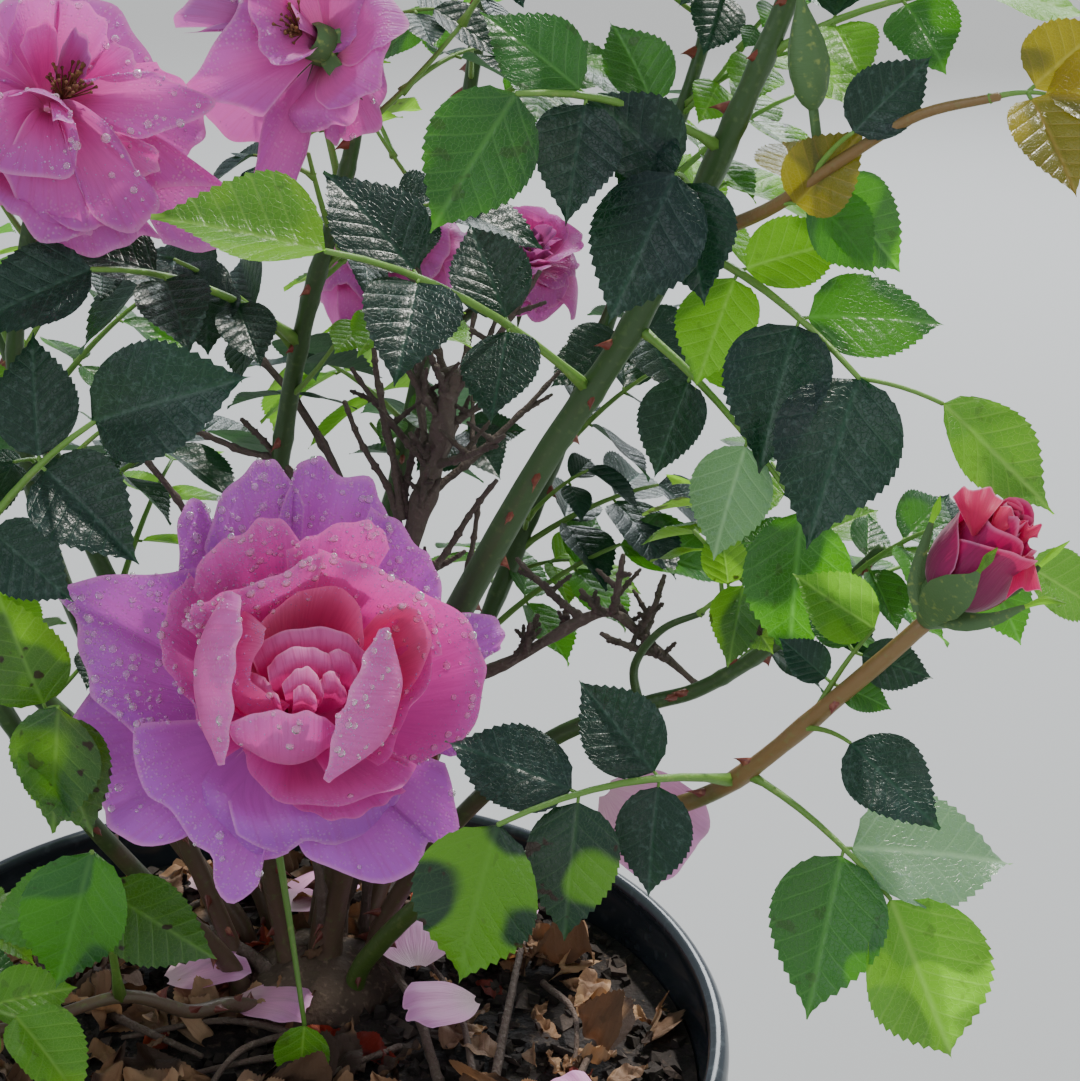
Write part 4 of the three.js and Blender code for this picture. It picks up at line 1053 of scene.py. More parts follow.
deadTwigs = [  # thin dead canes behind the bloom, foot last
    [(-33, 34, 409), (-21, 38, 388), (-7, 40, 352), (5, 34, 308), (14, 34, 268), (10, 50, 226)],
    [(-27, 84, 446), (-10, 82, 430), (6, 78, 412), (20, 70, 390), (29, 60, 364), (34, 52, 326),
     (24, 58, 226)],
    [(-21, 62, 405), (-8, 62, 399), (8, 60, 392), (17, 56, 365), (22, 44, 337), (22, 40, 286), (14, 52, 226)],
    [(-7, 64, 408), (1, 62, 400), (10, 60, 387)],
    [(16, 64, 404), (20, 62, 394), (25, 58, 371), (31, 50, 341)],
    [(33, 70, 434), (34, 68, 419), (38, 64, 398), (41, 60, 377)],
    [(24, 66, 413), (29, 64, 400), (37, 62, 386), (41, 60, 370)],
    [(47, 100, 439), (46, 96, 424), (45, 92, 410), (47, 78, 387), (42, 62, 360)],
    [(35, 68, 418), (36, 66, 404), (40, 64, 390), (43, 61, 377)],
    [(46, 70, 403), (44, 68, 395), (41, 62, 382)],
    [(64, 74, 378), (61, 70, 360), (54, 66, 338), (40, 62, 330)],
    [(70, 54, 392), (62, 58, 380), (54, 60, 366), (46, 60, 356)],
]


def stubThick(t):
    return (deadStub["thick"][0] - 1.2 - 1.9 * t) * (1 + 0.16 * math.sin(38 * t)) * (1 if t < 0.94 else 1.25)


def branchThick(t):
    return taper(deadBranch["thick"])(t) * 0.64 * (1 + 0.16 * math.sin(38 * t))


addTube(deadHeap, deadStub["curve"], stubThick, 18, 130, relief=knotty(2))
addTube(deadHeap, deadBranch["curve"], branchThick, 12, 70, relief=knotty(3))
for curve, rule, start in (
        (deadStub["curve"], deadStub["twigs"], deadStub["bare"] + 0.08),
        (deadStub["curve"], {"seed": 31, "count": 8, "long": 22}, 0.55),
        (deadBranch["curve"], deadBranch["twigs"], 0.4),
        (deadBranch["curve"], {"seed": 44, "count": 8, "long": 16}, 0.15)):
    addDeadTwigs(curve, rule, start)
for k, line in enumerate(deadTwigs):
    thick = (1.6, 0.9) if len(line) > 4 else (1.25, 0.75)
    addTube(deadHeap, pathOf(line[::-1]), jointed(thick, 3 + len(line)), 8, 60, relief=knotty(k + 80))
deadNodes = ["dead_stub", "dead_twigs", "dead_branch"]
makePiece("dead_wood", deadHeap, barkKinds["deadGrey"], deadNodes)

crownHeap = newHeap()
crownShape = {"middle": (8, 46), "radius": 28, "tall": 13, "sides": 48, "profile": [
    (-0.4, 1.04), (0, 1), (0.25, 0.95), (0.5, 0.84), (0.75, 0.66), (0.95, 0.42), (1.06, 0.18), (1.08, 0.01)]}
lump = wobble(9, 8)
angles = around(crownShape["sides"])
east, north = np.cos(angles), np.sin(angles)
rings = []
for rise, share in crownShape["profile"]:
    folds = 0.07 * np.sin(3 * angles + 0.6) + 0.05 * np.sin(5 * angles)
    rough = 0.07 * lump(east * 3 + rise, north * 3) + 0.06 * lump(east * 9 + rise * 5, north * 9)
    r = crownShape["radius"] * share * (1 + folds + rough)
    z = soilTop + 0.3 + crownShape["tall"] * rise + 1.3 * lump(east * 4, north * 4 + rise)
    rings.append(np.stack([crownShape["middle"][0] + r * east, crownShape["middle"][1] + r * north, z], 1))
addPart(crownHeap, np.vstack(rings), gridFaces(len(rings), crownShape["sides"], True))
makePiece("crown_bark", crownHeap, barkKinds["crownBark"], ["woody_crown"])

# petals: each is a curved sheet set round the bloom's axis, wide at the rim, waved and rolled
petalGrid = {"rows": 17, "columns": 21}
petalQuads = gridFaces(petalGrid["rows"], petalGrid["columns"])
petalU, petalV = np.meshgrid(np.linspace(-1, 1, petalGrid["columns"]), np.linspace(0, 1, petalGrid["rows"]))


def addPetal(heap, hip, axis, size, angle, ring, rng, droop=0.0):
    side, across = axisFrame(axis)
    big = 1 + ring.get("vary", 0.08) * rng.uniform(-1, 1)
    foot, belly, rim = (np.array(ring[key], float) * size for key in ("foot", "belly", "rim"))
    u = petalU
    notch = ring.get("notch", 0.06) * rng.uniform(0.2, 1.6)
    notch = notch * np.exp(-((u - rng.uniform(-0.5, 0.5)) / 0.16) ** 2)
    lobes = ring.get("lobes", 0.02) * np.sin(u * rng.uniform(3, 5.5) + rng.uniform(0, 6))
    v = petalV * (1 - ring.get("round", 0.17) * np.abs(u) ** 3.2 - notch + lobes) * big
    w = v[..., None]
    profile = foot * (1 - w) ** 2 + belly * 2 * w * (1 - w) + rim * w ** 2
    slope = 2 * (1 - w) * (belly - foot) + 2 * w * (rim - belly)
    slope /= np.maximum(np.linalg.norm(slope, axis=-1, keepdims=True), 1e-6)
    out = np.stack([slope[..., 1], -slope[..., 0]], -1)  # away from the axis, square to the petal
    roll = ring.get("lip", 0.1) * size * np.clip((v - 0.72) / 0.28, 0, 1.4) ** 2
    wave = np.sin(u * rng.uniform(3, 5) + rng.uniform(0, 6)) * 0.7
    wave = wave + np.sin(u * rng.uniform(7, 11) + rng.uniform(0, 6)) * 0.35
    ruffle = ring.get("ruffle", 0.03) * size * v ** 2.2 * wave
    skew = ring.get("skew", 0.05) * size * u * v
    crease = ring.get("crease", 0.02) * size * np.exp(-(u / 0.12) ** 2) * v
    profile = profile + out * (roll + ruffle + skew - crease)[..., None]
    profile[..., 1] -= roll * 0.8
    radial, up = profile[..., 0], profile[..., 1]
    up = up - droop * size * np.clip(radial / size, 0, 2) ** 2
    half = ring["width"] * size / 2 * (0.22 + 0.78 * np.sin(math.pi / 2 * np.clip(petalV / 0.62, 0, 1))) * big
    bend = np.maximum(np.abs(radial) * ring.get("wrap", 1.15), ring.get("least", 0.1) * size)
    theta = u * half / bend
    x = radial - bend + bend * np.cos(theta)
    y = bend * np.sin(theta)
    c, s = math.cos(angle), math.sin(angle)
    flat = np.multiply.outer(x * c - y * s, side) + np.multiply.outer(x * s + y * c, across)
    addPart(heap, hip + flat + np.multiply.outer(up, axis), petalQuads,
            np.stack([0.5 + 0.5 * petalU, petalV], -1))


# the full bloom, petal by petal: kind, dew, bowl, lip, rim from side to side, middle of a folded petal;
# places are right, up and out from the middle of its face, in hundredths of its size
fullPetals = [
    ("outer", 1.0, 0.6, 4, [(-44, 57, 22), (-39, 80, 24), (-26, 95, 22), (-17, 99, 20), (-9, 94, 20),
                            (0, 80, 24)]),
    ("outer", 0.5, 0.6, 3, [(-12, 72, 24), (-7, 88, 22), (-3, 97, 20), (6, 101, 18), (16, 93, 20),
                            (31, 92, 18), (35, 80, 20), (41, 68, 22)]),
    ("outer", 1.0, 0.6, 3, [(30, 78, 24), (41, 72, 22), (52, 60, 22), (60, 53, 22), (63, 38, 24),
                            (62, 28, 24)]),
    ("outer", 0.9, 0.65, 2, [(-56, 42, 22), (-57, 62, 22), (-55, 76, 20), (-47, 81, 18), (-43, 72, 20),
                             (-42, 55, 22)]),
    ("outer", 1.0, 0.6, 3, [(-45, 50, 30), (-69, 47, 32), (-92, 45, 30), (-109, 39, 26), (-102, 27, 26),
                            (-100, 13, 24), (-96, -1, 24), (-91, -11, 26), (-74, -24, 30)]),
    ("outer", 0.1, 0.6, 4, [(-88, 0, 8), (-98, -10, 8), (-102, -24, 6), (-99, -43, 5), (-89, -57, 4),
                            (-85, -67, 4), (-74, -74, 4), (-54, -72, 4), (-44, -64, 6)]),
    ("outer", 0.15, 0.65, 3, [(-73, -20, 34), (-75, -36, 30), (-69, -51, 25), (-60, -59, 21),
                              (-49, -72, 16), (-40, -79, 13), (-38, -91, 10), (-30, -101, 6),
                              (-19, -93, 8), (-17, -79, 12), (-8, -71, 14), (-3, -62, 16)]),
    ("outer", 0.1, 0.6, 3, [(-8, -58, 14), (-2, -73, 12), (5, -82, 10), (19, -87, 9), (39, -92, 8),
                            (52, -86, 8), (57, -75, 10), (65, -77, 9), (72, -68, 10), (69, -54, 14),
                            (64, -38, 18)]),
    ("outer", 0.6, 0.6, 3, [(70, 30, 10), (82, 30, 8), (91, 24, 6), (92, 16, 5), (86, 11, 6), (74, 4, 10)]),
    ("outer", 0.3, 0.6, 3, [(60, -20, 12), (73, -22, 10), (75, -30, 9), (68, -36, 10)]),
    ("cup", 0.35, 0.72, 3, [(50, 42, 52), (64, 34, 50), (75, 24, 46), (81, 10, 44), (83, 0, 42),
                            (80, -16, 40), (69, -29, 40), (54, -38, 42), (46, -40, 44)]),
    ("cup", 0.15, 0.7, 3, [(-27, -32, 50), (-24, -40, 50), (-17, -49, 50), (-3, -56, 48), (17, -57, 46),
                           (37, -52, 46), (48, -45, 46), (50, -38, 46)]),
    ("cup", 0.1, 0.7, 2, [(-12, -54, 38), (4, -61, 36), (20, -63, 34), (36, -58, 34), (46, -50, 36)]),
    ("cup", 0.3, 0.7, 5, [(-50, 46, 44), (-60, 34, 44), (-63, 16, 44), (-58, 2, 44), (-50, -10, 42),
                          (-44, -24, 40)]),
    ("cup", 1.0, 0.62, 4, [(-50, 40, 50), (-46, 50, 54), (-38, 60, 58), (-30, 63, 60), (-24, 69, 60),
                           (-18, 72, 60), (-11, 70, 60), (-5, 65, 60), (-1, 58, 60)]),
    ("cup", 0.8, 0.62, 5, [(-8, 55, 60), (0, 62, 62), (11, 67, 62), (25, 70, 60), (33, 69, 58),
                           (38, 58, 56)]),
    ("cup", 0.9, 0.66, 7, [(-52, 22, 58), (-48, 30, 66), (-42, 34, 72), (-31, 38, 76), (-17, 41, 78),
                           (-4, 49, 78), (9, 57, 74)]),
    ("cup", 0.6, 0.66, 5, [(6, 57, 70), (22, 52, 72), (36, 46, 72), (47, 40, 70), (56, 34, 66),
                           (59, 24, 62), (60, 10, 58)]),
    ("inner", 0.1, 0.7, 1, [(-22, 20, 60), (-11, 33, 62), (4, 41, 62), (19, 39, 62), (26, 27, 60),
                            (27, 14, 58)]),
    ("inner", 0.1, 0.75, 1, [(34, 30, 64), (46, 33, 66), (54, 27, 64), (57, 13, 62), (50, -3, 58),
                             (44, -10, 54)]),
    ("cup", 0.1, 0.75, 2, [(56, 20, 60), (59, 7, 60), (52, -8, 58), (46, -18, 57), (41, -30, 56),
                           (34, -40, 54)]),
    ("inner", 0.0, 0.8, 0, [(-32, 22, 50), (-36, 6, 50), (-34, -10, 50), (-26, -20, 50)]),
    ("heart", 0.0, 0, 0, [(-24, 11, 60), (-13, 20, 62), (4, 23, 63), (19, 20, 62), (29, 11, 60)],
     [(-19, -1, 55), (-9, 5, 55), (4, 6, 55), (15, 4, 55), (24, -2, 54)]),
    ("heart", 0.0, 0, 0, [(-17, 5, 69), (-9, 12, 71), (2, 14, 72), (10, 11, 71), (16, 2, 69)],
     [(-14, -7, 63), (-6, -3, 64), (2, -2, 64), (8, -3, 64), (13, -8, 63)]),
    ("heart", 0.0, 0, 0, [(8, 9, 69), (15, 13, 71), (22, 8, 70), (26, -3, 67)],
     [(10, -3, 63), (15, -3, 63), (20, -5, 62), (23, -11, 60)]),
    ("heart", 0.0, 0, 0, [(-25, 3, 64), (-18, 0, 68), (-11, -9, 73)],
     [(-25, -9, 60), (-17, -11, 63), (-9, -16, 68)]),
    ("heart", 0.0, 0, 0, [(-10, -3, 76), (-3, 4, 78), (3, 4, 78), (9, -4, 76)],
     [(-8, -11, 70), (-3, -10, 71), (2, -10, 71), (7, -13, 70)]),
    ("heart", 0.0, 0, 0, [(6, -2, 75), (12, 3, 77), (18, -4, 75)],
     [(7, -11, 69), (12, -10, 70), (17, -13, 69)]),
    ("heart", 0.0, 0, 0, [(-5, -6, 81), (0, -3, 83), (5, -8, 81)],
     [(-5, -14, 76), (0, -13, 76), (5, -16, 75)]),
    ("outer", 0.1, 0.6, 2, [(-40, -34, 8), (-28, -54, 8), (-8, -62, 8), (14, -60, 8), (30, -50, 8)]),
    ("cup", 0.15, 0, 0, [(-29, 37, 80), (-29, 20, 90), (-31, -1, 93), (-33, -22, 86), (-34, -38, 70)],
     [(-36, 33, 62), (-47, 15, 52), (-49, -3, 50), (-45, -22, 50), (-36, -37, 58)]),
    ("inner", 0.3, 0, 0, [(-17, 22, 76), (-19, 16, 80), (-24, 4, 82), (-22, -3, 80), (-14, -9, 74),
                          (-6, -12, 68)],
     [(-28, 28, 52), (-33, 14, 50), (-34, 0, 48), (-31, -12, 48), (-22, -18, 48), (-12, -20, 48)]),
    ("cup", 0.1, 0, 0, [(-33, -20, 80), (-20, -16, 86), (-6, -15, 88), (6, -17, 86), (14, -21, 80)],
     [(-27, -31, 62), (-17, -37, 60), (-6, -39, 58), (4, -37, 60), (12, -31, 62)]),
    ("cup", 0.5, 0, 0, [(34, 22, 84), (26, 7, 92), (17, -13, 96), (13, -27, 92), (9, -46, 78)],
     [(36, 18, 62), (44, 0, 56), (43, -13, 56), (36, -30, 56), (11, -45, 60)]),
]
spentPetals = [  # the old bloom at the left, its long petals hang down; last entry: arch up and out
    ("pale", 0.1, 0.55, 2, [(-21, 17, 0), (-21, 35, -4), (-14, 50, -4), (-4, 58, 0), (7, 57, 4),
                            (9, 47, 8)], (0, -8)),
    ("pale", 0.1, 0.55, 2, [(6, 47, 6), (10, 55, 8), (22, 55, 8), (33, 47, 6), (35, 35, 4), (31, 24, 4),
                            (24, 14, 6)], (0, -6)),
    ("cup", 0.0, 0.55, 0, [(-14, 28, 8), (-9, 40, 8), (2, 43, 9), (7, 36, 10), (7, 24, 12)], (0, -4)),
    ("wilted", 0.0, 0.6, 1, [(4, 10, 14), (10, 30, 14), (18, 38, 12), (26, 30, 10), (22, 12, 10)], (0, 0)),
    ("cup", 0.1, 0.55, 2, [(31, 24, 0), (38, 31, -2), (50, 24, 0), (49, 14, 2), (38, 11, 4)], (0, 0)),
    ("pale", 0.4, 0.5, 3, [(22, 8, 14), (38, 13, 12), (62, 15, 10), (78, 6, 8), (96, -2, 4), (81, -13, 8),
                           (57, -23, 12), (41, -21, 14), (28, -14, 18)], (5, 12)),
    ("pale", 0.5, 0.5, 3, [(-32, 0, 26), (-39, -16, 26), (-37, -37, 24), (-18, -42, 28), (1, -48, 28),
                           (13, -42, 28), (15, -28, 30), (14, -14, 30)], (7, 18)),
    ("pale", 0.2, 0.5, 3, [(-27, -40, 18), (-18, -63, 16), (-4, -76, 12), (13, -81, 12), (21, -77, 14),
                           (19, -61, 20), (13, -45, 24)], (10, 24)),
    ("pale", 1.0, 0.5, 3, [(10, -37, 22), (19, -61, 18), (29, -73, 14), (46, -76, 12), (58, -69, 10),
                           (61, -56, 12), (48, -42, 18), (41, -26, 22), (29, -12, 24)], (7, 20)),
    ("pale", 0.1, 0.5, 2, [(-14, -70, 0), (-4, -84, -2), (8, -91, -2), (29, -90, -2), (46, -81, -2),
                           (62, -82, -4)], (0, 6)),
    ("cup", 0.2, 0.5, 2, [(38, -26, 2), (58, -27, 0), (62, -40, -2), (50, -46, 0)], (2, 6)),
    ("pale", 0.2, 0.5, 3, [(38, -78, -12), (50, -63, -10), (69, -50, -10), (100, -54, -12),
                           (121, -70, -16), (118, -84, -18), (85, -89, -16), (62, -84, -14)], (14, -2)),
    ("pale", 0.2, 0.5, 3, [(-40, 22, 4), (-60, 8, 6), (-66, -14, 6), (-52, -34, 8), (-38, -38, 12)], (5, 8)),
    ("pale", 0.1, 0.5, 2, [(-30, 44, -4), (-44, 38, -2), (-50, 24, 0), (-38, 12, 4), (-24, 12, 6)], (2, 4)),
    ("pale", 0.6, 0.5, 2, [(-24, 0, 30), (-8, 3, 34), (8, -4, 36), (14, -12, 36), (2, -12, 38)], (6, 4)),
    ("pale", 0.1, 0.5, 3, [(-40, 20, -30), (-24, 50, -40), (10, 62, -44), (40, 50, -40), (58, 20, -30)],
     (-4, -12)),
    ("pale", 0.1, 0.5, 3, [(-70, -20, -10), (-72, -44, -14), (-50, -62, -16), (-26, -60, -10)], (10, 0)),
    ("pale", 0.1, 0.5, 3, [(60, 20, -20), (84, 4, -34), (86, -26, -40), (60, -40, -30)], (8, -10)),
    ("pale", 0.1, 0.5, 3, [(-60, 10, -30), (-66, -24, -52), (-30, -44, -66), (10, -40, -68),
                           (50, -34, -56)], (12, -16)),
]
limpPetals = [  # the hanging bloom at the top
    ("pale", 0.2, 0.5, 3, [(-46, -47, 24), (-60, -44, 26), (-74, -39, 26), (-88, -36, 24), (-100, -29, 20),
                           (-91, -16, 22), (-77, 3, 24), (-66, 22, 24), (-57, 36, 22)], (4, 14)),
    ("pale", 0.1, 0.5, 3, [(-14, -6, 34), (-30, -12, 40), (-46, -6, 42), (-52, 16, 40), (-55, 38, 36),
                           (-44, 56, 30)], (4, 10)),
    ("pale", 0.1, 0.5, 2, [(-2, -2, 16), (8, -4, 20), (20, 6, 22), (27, 25, 20), (23, 47, 16), (6, 61, 12),
                           (-14, 60, 14)], (4, 6)),
    ("pale", 0.1, 0.5, 3, [(-44, -44, 0), (-52, -78, -4), (-58, -106, -6), (-46, -112, -6),
                           (-32, -110, -6), (-24, -91, -6), (-16, -72, -4), (-10, -44, 0)], (2, 8)),
    ("cup", 0.1, 0.5, 2, [(1, -56, -8), (12, -65, -10), (26, -61, -12), (37, -54, -14), (35, -41, -14),
                          (26, -24, -10), (18, -4, -6)], (4, -4)),
    ("pale", 0.1, 0.5, 2, [(-6, -44, -2), (-3, -62, -4), (6, -66, -6), (12, -56, -6), (8, -34, -4)], (2, 2)),
    ("wilted", 0.1, 0.5, 2, [(-107, 13, 8), (-102, 25, 8), (-88, 34, 10), (-71, 34, 12), (-68, 20, 14),
                             (-84, 12, 14), (-100, 9, 10)], (6, 10)),
    ("pale", 0.1, 0.5, 3, [(-96, 26, 6), (-92, 46, 6), (-75, 70, 8), (-45, 80, 10), (-20, 75, 10),
                           (5, 60, 8)], (4, 6)),
    ("pale", 0.1, 0.5, 3, [(-84, 50, -14), (-56, 78, -20), (-24, 88, -24), (6, 72, -20), (24, 46, -14)],
     (6, -10)),
    ("cup", 0.1, 0.5, 2, [(-56, 6, 28), (-52, 26, 28), (-40, 38, 28), (-26, 30, 28), (-20, 12, 28)], (2, 4)),
    ("pale", 0.1, 0.5, 3, [(-70, -20, -20), (-84, -46, -30), (-64, -66, -36), (-36, -60, -34),
                           (-18, -34, -24)], (6, -10)),
    ("pale", 0.1, 0.5, 3, [(24, 20, -22), (40, -10, -34), (34, -44, -40), (8, -60, -40), (-16, -44, -34)],
     (8, -12)),
]
drawnGrid = {"rows": 19, "columns": 37, "middle": 0.55, "ruffle": 0.026, "lobe": 0.016, "narrow": 0.09,
             "waves": ((9, 14), (18, 27), (8, 13), (22, 34))}
drawnTables = {"full": fullPetals, "spent": spentPetals, "limp": limpPetals}
drawnQuads = gridFaces(drawnGrid["rows"], drawnGrid["columns"])
backWhorl = {"count": 6, "foot": (0.06, 0.0), "belly": (0.42, 0.04), "rim": (0.6, 0.06), "width": 0.8,
             "wrap": 1.5, "lip": 0.1, "ruffle": 0.05, "notch": 0.06, "lobes": 0.03}


def addDrawnBloom(base, look, table, axis, rng):
    hand, turn, size = look.get("hand", 1), look.get("turn", 0), look["size"]
    out = unit(vec(*look["facing"]))
    right = squareTo(vec(1, 0, 0), out) * hand
    up = np.cross(out, right) * hand
    right, up = right * math.cos(turn) + up * math.sin(turn), up * math.cos(turn) - right * math.sin(turn)
    foot, hub = np.array(look["foot"]), np.array(look["hub"])
    u = np.linspace(0, 1, drawnGrid["columns"])
    v = np.linspace(0, 1, drawnGrid["rows"])[:, None, None]
    m = drawnGrid["middle"]
    weights = (v - m) * (v - 1) / m, v * (v - 1) / (m * (m - 1)), v * (v - m) / (1 - m)
    for kind, dew, bowl, lip, rimPlaces, *more in table:
        rim = pathOf(rimPlaces)(u) / 100
        low = foot + rim * (0.07, 0.07, 0)
        if more and isinstance(more[0], list):
            middle = pathOf(more[0])(u) / 100
        else:
            arch = np.array((0, *(more[0] if more else (0, 0)))) / 100
            middle = foot + (rim - foot) * (bowl, bowl, bowl * 0.62) + arch
        grid = low * weights[0] + middle * weights[1] + rim * weights[2]
        away = rim * (1, 1, 0)
        away /= np.maximum(np.linalg.norm(away, axis=1, keepdims=True), 0.05)
        wave = [np.sin(u * rng.uniform(*span) + rng.uniform(0, 6)) for span in drawnGrid["waves"]]
        soft = {"inner": 0.5, "heart": 0.4, "pale": 1.7, "wilted": 1.7}.get(kind, 1.0)
        rise = (wave[0] * 0.65 + wave[1] * 0.35)[None, :, None] * drawnGrid["ruffle"] * soft * v ** 3
        edge = (wave[2] * 0.5 + wave[3] * 0.5)[None, :, None] * drawnGrid["lobe"] * soft * v ** 4
        roll = lip / 100 * np.clip((v - 0.78) / 0.22, 0, 1) ** 2
        grid = grid + away * (edge + roll * 0.35) + np.array((0, 0, 1)) * (rise - roll)
        grid[..., :2] *= 1 - drawnGrid["narrow"] * grid[..., 2:]
        local = (grid + hub) * size
        points = base + local[..., :1] * right + local[..., 1:2] * up + local[..., 2:] * out
        addPart(petalHeaps[kind], points, drawnQuads, np.stack(np.broadcast_arrays(u[None], v[..., 0]), -1))
        dewPlaces.append((points, dew * look["dew"], out, rimPlaces[0][1] > -30))
    for k in range(backWhorl["count"]):
        angle = fullTurn * (k + 0.3) / backWhorl["count"]
        addPetal(petalHeaps[table[0][0]], base, axis, size, angle, backWhorl, rng)


openRings = [  # older bloom, loose and pale, with its middle going over
    {"kind": "pale", "count": 6, "start": 0.2, "foot": (0.06, 0.12), "belly": (0.6, 0.34),
     "rim": (1.05, 0.16), "width": 1.35, "wrap": 1.6, "lip": 0.16, "ruffle": 0.09, "notch": 0.1,
     "lobes": 0.05, "vary": 0.14},
    {"kind": "pale", "count": 6, "start": 0.7, "foot": (0.06, 0.15), "belly": (0.5, 0.4),
     "rim": (0.84, 0.5), "width": 1.2, "wrap": 1.3, "lip": 0.14, "ruffle": 0.09, "vary": 0.14},
    {"kind": "pale", "count": 6, "start": 0.1, "foot": (0.05, 0.2), "belly": (0.46, 0.4),
     "rim": (0.52, 0.86), "width": 0.95, "wrap": 1.1, "lip": 0.1, "ruffle": 0.07, "vary": 0.16},
    {"kind": "wilted", "count": 7, "start": 0.5, "foot": (0.04, 0.22), "belly": (0.32, 0.36),
     "rim": (0.26, 0.7), "width": 0.42, "wrap": 1.05, "lip": 0.05, "ruffle": 0.06, "least": 0.08,
     "vary": 0.2},
    {"kind": "wilted", "count": 5, "start": 0.2, "foot": (0.02, 0.24), "belly": (0.16, 0.36),
     "rim": (0.08, 0.56), "width": 0.24, "wrap": 1.0, "lip": 0.03, "ruffle": 0.05, "least": 0.05,
     "vary": 0.2},
]
fullFace = {"hub": (0.055, 0.165, 0), "foot": (-0.055, -0.165, 0.02)}
bloomLooks = {
    "bloom_main": {"form": "full", "seed": 3, "facing": (0.126, -0.894, 0.431), "size": 59, **fullFace,
                   "dew": 1.0},
    "bloom_left": {"form": "spent", "seed": 8, "facing": (0.228, -0.961, 0.158), "size": 42,
                   "hub": (0, 0.4, 0.28), "foot": (0, -0.05, -0.12), "dew": 0.5},
    "bloom_hanging": {"form": "limp", "seed": 5, "facing": (0.121, -0.985, 0.121), "size": 36,
                      "hub": (0, 0.02, 0), "foot": (0, -0.02, 0), "dew": 0.2},
    "bloom_far_left": {"form": "full", "seed": 21, "facing": (-0.5, -0.3, 0.81), "size": 41, "turn": 2.1,
                       "hand": -1, **fullFace, "dew": 0.1},
    "bloom_back_left": {"form": "full", "seed": 33, "facing": (-0.25, 0.25, 0.93), "size": 43, "turn": 4.2,
                        **fullFace, "dew": 0.1},
    "bloom_back": {"form": "open", "seed": 14},
    "bloom_back_right": {"form": "open", "seed": 19},
}
petalHeaps = {kind: newHeap() for kind in petalKinds}
hipHeap, sepalHeap, stamenHeap = newHeap(), newHeap(), newHeap()
dewPlaces = []


def addSepal(foot, axis, toward, long, bendOut):
    rows, columns = 12, 5
    u, v = np.meshgrid(np.linspace(-1, 1, columns), np.linspace(0, 1, rows))
    lead = unit(axis * math.cos(bendOut) + toward * math.sin(bendOut))
    lift = squareTo(axis, lead)
    sideways = np.cross(lead, lift)
    half = 3 * np.sin(math.pi * np.clip(v * 0.8 + 0.2, 0, 1)) ** 1.1 * (1 - 0.72 * v) + 0.12
    turn = -0.25 * long * np.clip(v - 0.35, 0, 1) ** 2
    points = (foot + np.multiply.outer(v * long, lead) + np.multiply.outer(u * half, sideways)
              + np.multiply.outer(turn + 0.25 * np.abs(u) * half, lift))
    addPart(sepalHeap, points, gridFaces(rows, columns), np.stack([0.5 + 0.5 * u, v], -1))


hipProfile = [(0.1, -0.5), (2.4, 0), (3.6, 2), (4.9, 5), (5.4, 8), (5.0, 11), (3.5, 12.5)]
for bloom in blooms:
    look = bloomLooks[bloom["name"]]
    rng = np.random.default_rng(look["seed"])
    hip, axis, size = bloom["hip"], bloom["direction"], bloom["radius"]
    addSpindle(hipHeap, hip, axis, hipProfile, 16)
    side, across = axisFrame(axis)
    base = hip + axis * (hipLength - 0.16 * size)
    if look["form"] in drawnTables:
        addDrawnBloom(base, look, drawnTables[look["form"]], axis, rng)
    for ring in openRings if look["form"] == "open" else []:
        for k in range(ring["count"]):
            angle = fullTurn * (k + ring["start"] + rng.uniform(-1, 1) * 0.12) / ring["count"]
            droop = bloom.get("droop", 0) * 0.8
            addPetal(petalHeaps[ring["kind"]], base, axis, size, angle, ring, rng, droop)
    for k in range(5):
        angle = fullTurn * k / 5 + 0.3
        toward = side * math.cos(angle) + across * math.sin(angle)
        long = 19 + 4 * rng.uniform(-1, 1)
        addSepal(hip + axis * 8 + toward * 3.5, axis, toward, long, 2.0 + 0.25 * rng.uniform(-1, 1))
    if look["form"] != "full":
        for k in range(46):
            lean = unit(axis + 0.5 * (side * rng.normal() + across * rng.normal()))
            foot = base + axis * size * (0.5 if look["form"] == "spent" else 0.26)
            tip = foot + lean * size * rng.uniform(0.12, 0.26)
            addTube(stamenHeap, lineOf(foot, tip), lambda t: 0.17 + 0.36 * (t > 0.88), 5, 8)

# red bud: furled petals, long sepals with turned tips
budRings = [
    {"start": 0.1, "foot": (0.1, 0.1), "belly": (1.28, 0.7), "rim": (0.6, 2.1), "width": 2.3, "wrap": 1.05,
     "lip": 0.3, "ruffle": 0.09, "round": 0.26, "notch": 0.12, "lobes": 0.05, "least": 0.3},
    {"start": 0.5, "foot": (0.1, 0.15), "belly": (1.12, 0.75), "rim": (0.45, 2.32), "width": 2.1,
     "wrap": 1.03, "lip": 0.2, "ruffle": 0.1, "round": 0.24, "notch": 0.12, "lobes": 0.05, "least": 0.25},
    {"start": 0.25, "foot": (0.08, 0.2), "belly": (0.85, 0.85), "rim": (0.22, 2.4), "width": 1.6,
     "wrap": 1.0, "lip": 0.1, "ruffle": 0.05, "least": 0.16},
    {"start": 0.7, "foot": (0.05, 0.3), "belly": (0.5, 1.1), "rim": (0.1, 2.35), "width": 1.0, "wrap": 1.0,
     "lip": 0.05, "ruffle": 0.04, "least": 0.1},
]
rng = np.random.default_rng(12)
for ring in budRings:
    for k in range(3):
        angle = fullTurn * (k + ring["start"]) / 3
        foot = redBudHip + redBudAxis * 6
        addPetal(petalHeaps["crimson"], foot, redBudAxis, redBud["radius"], angle, ring, rng)
budHip = [(0.1, -0.5), (2.6, 0), (4.2, 2), (6.2, 4.5), (7.6, 7.5), (8.2, 10.5), (7.4, 13)]
addSpindle(hipHeap, redBudHip, redBudAxis, budHip, 18)
budOut = unit(vec(*viewPoint) - redBudHip)
budRight = squareTo(vec(1, 0, 0), budOut)
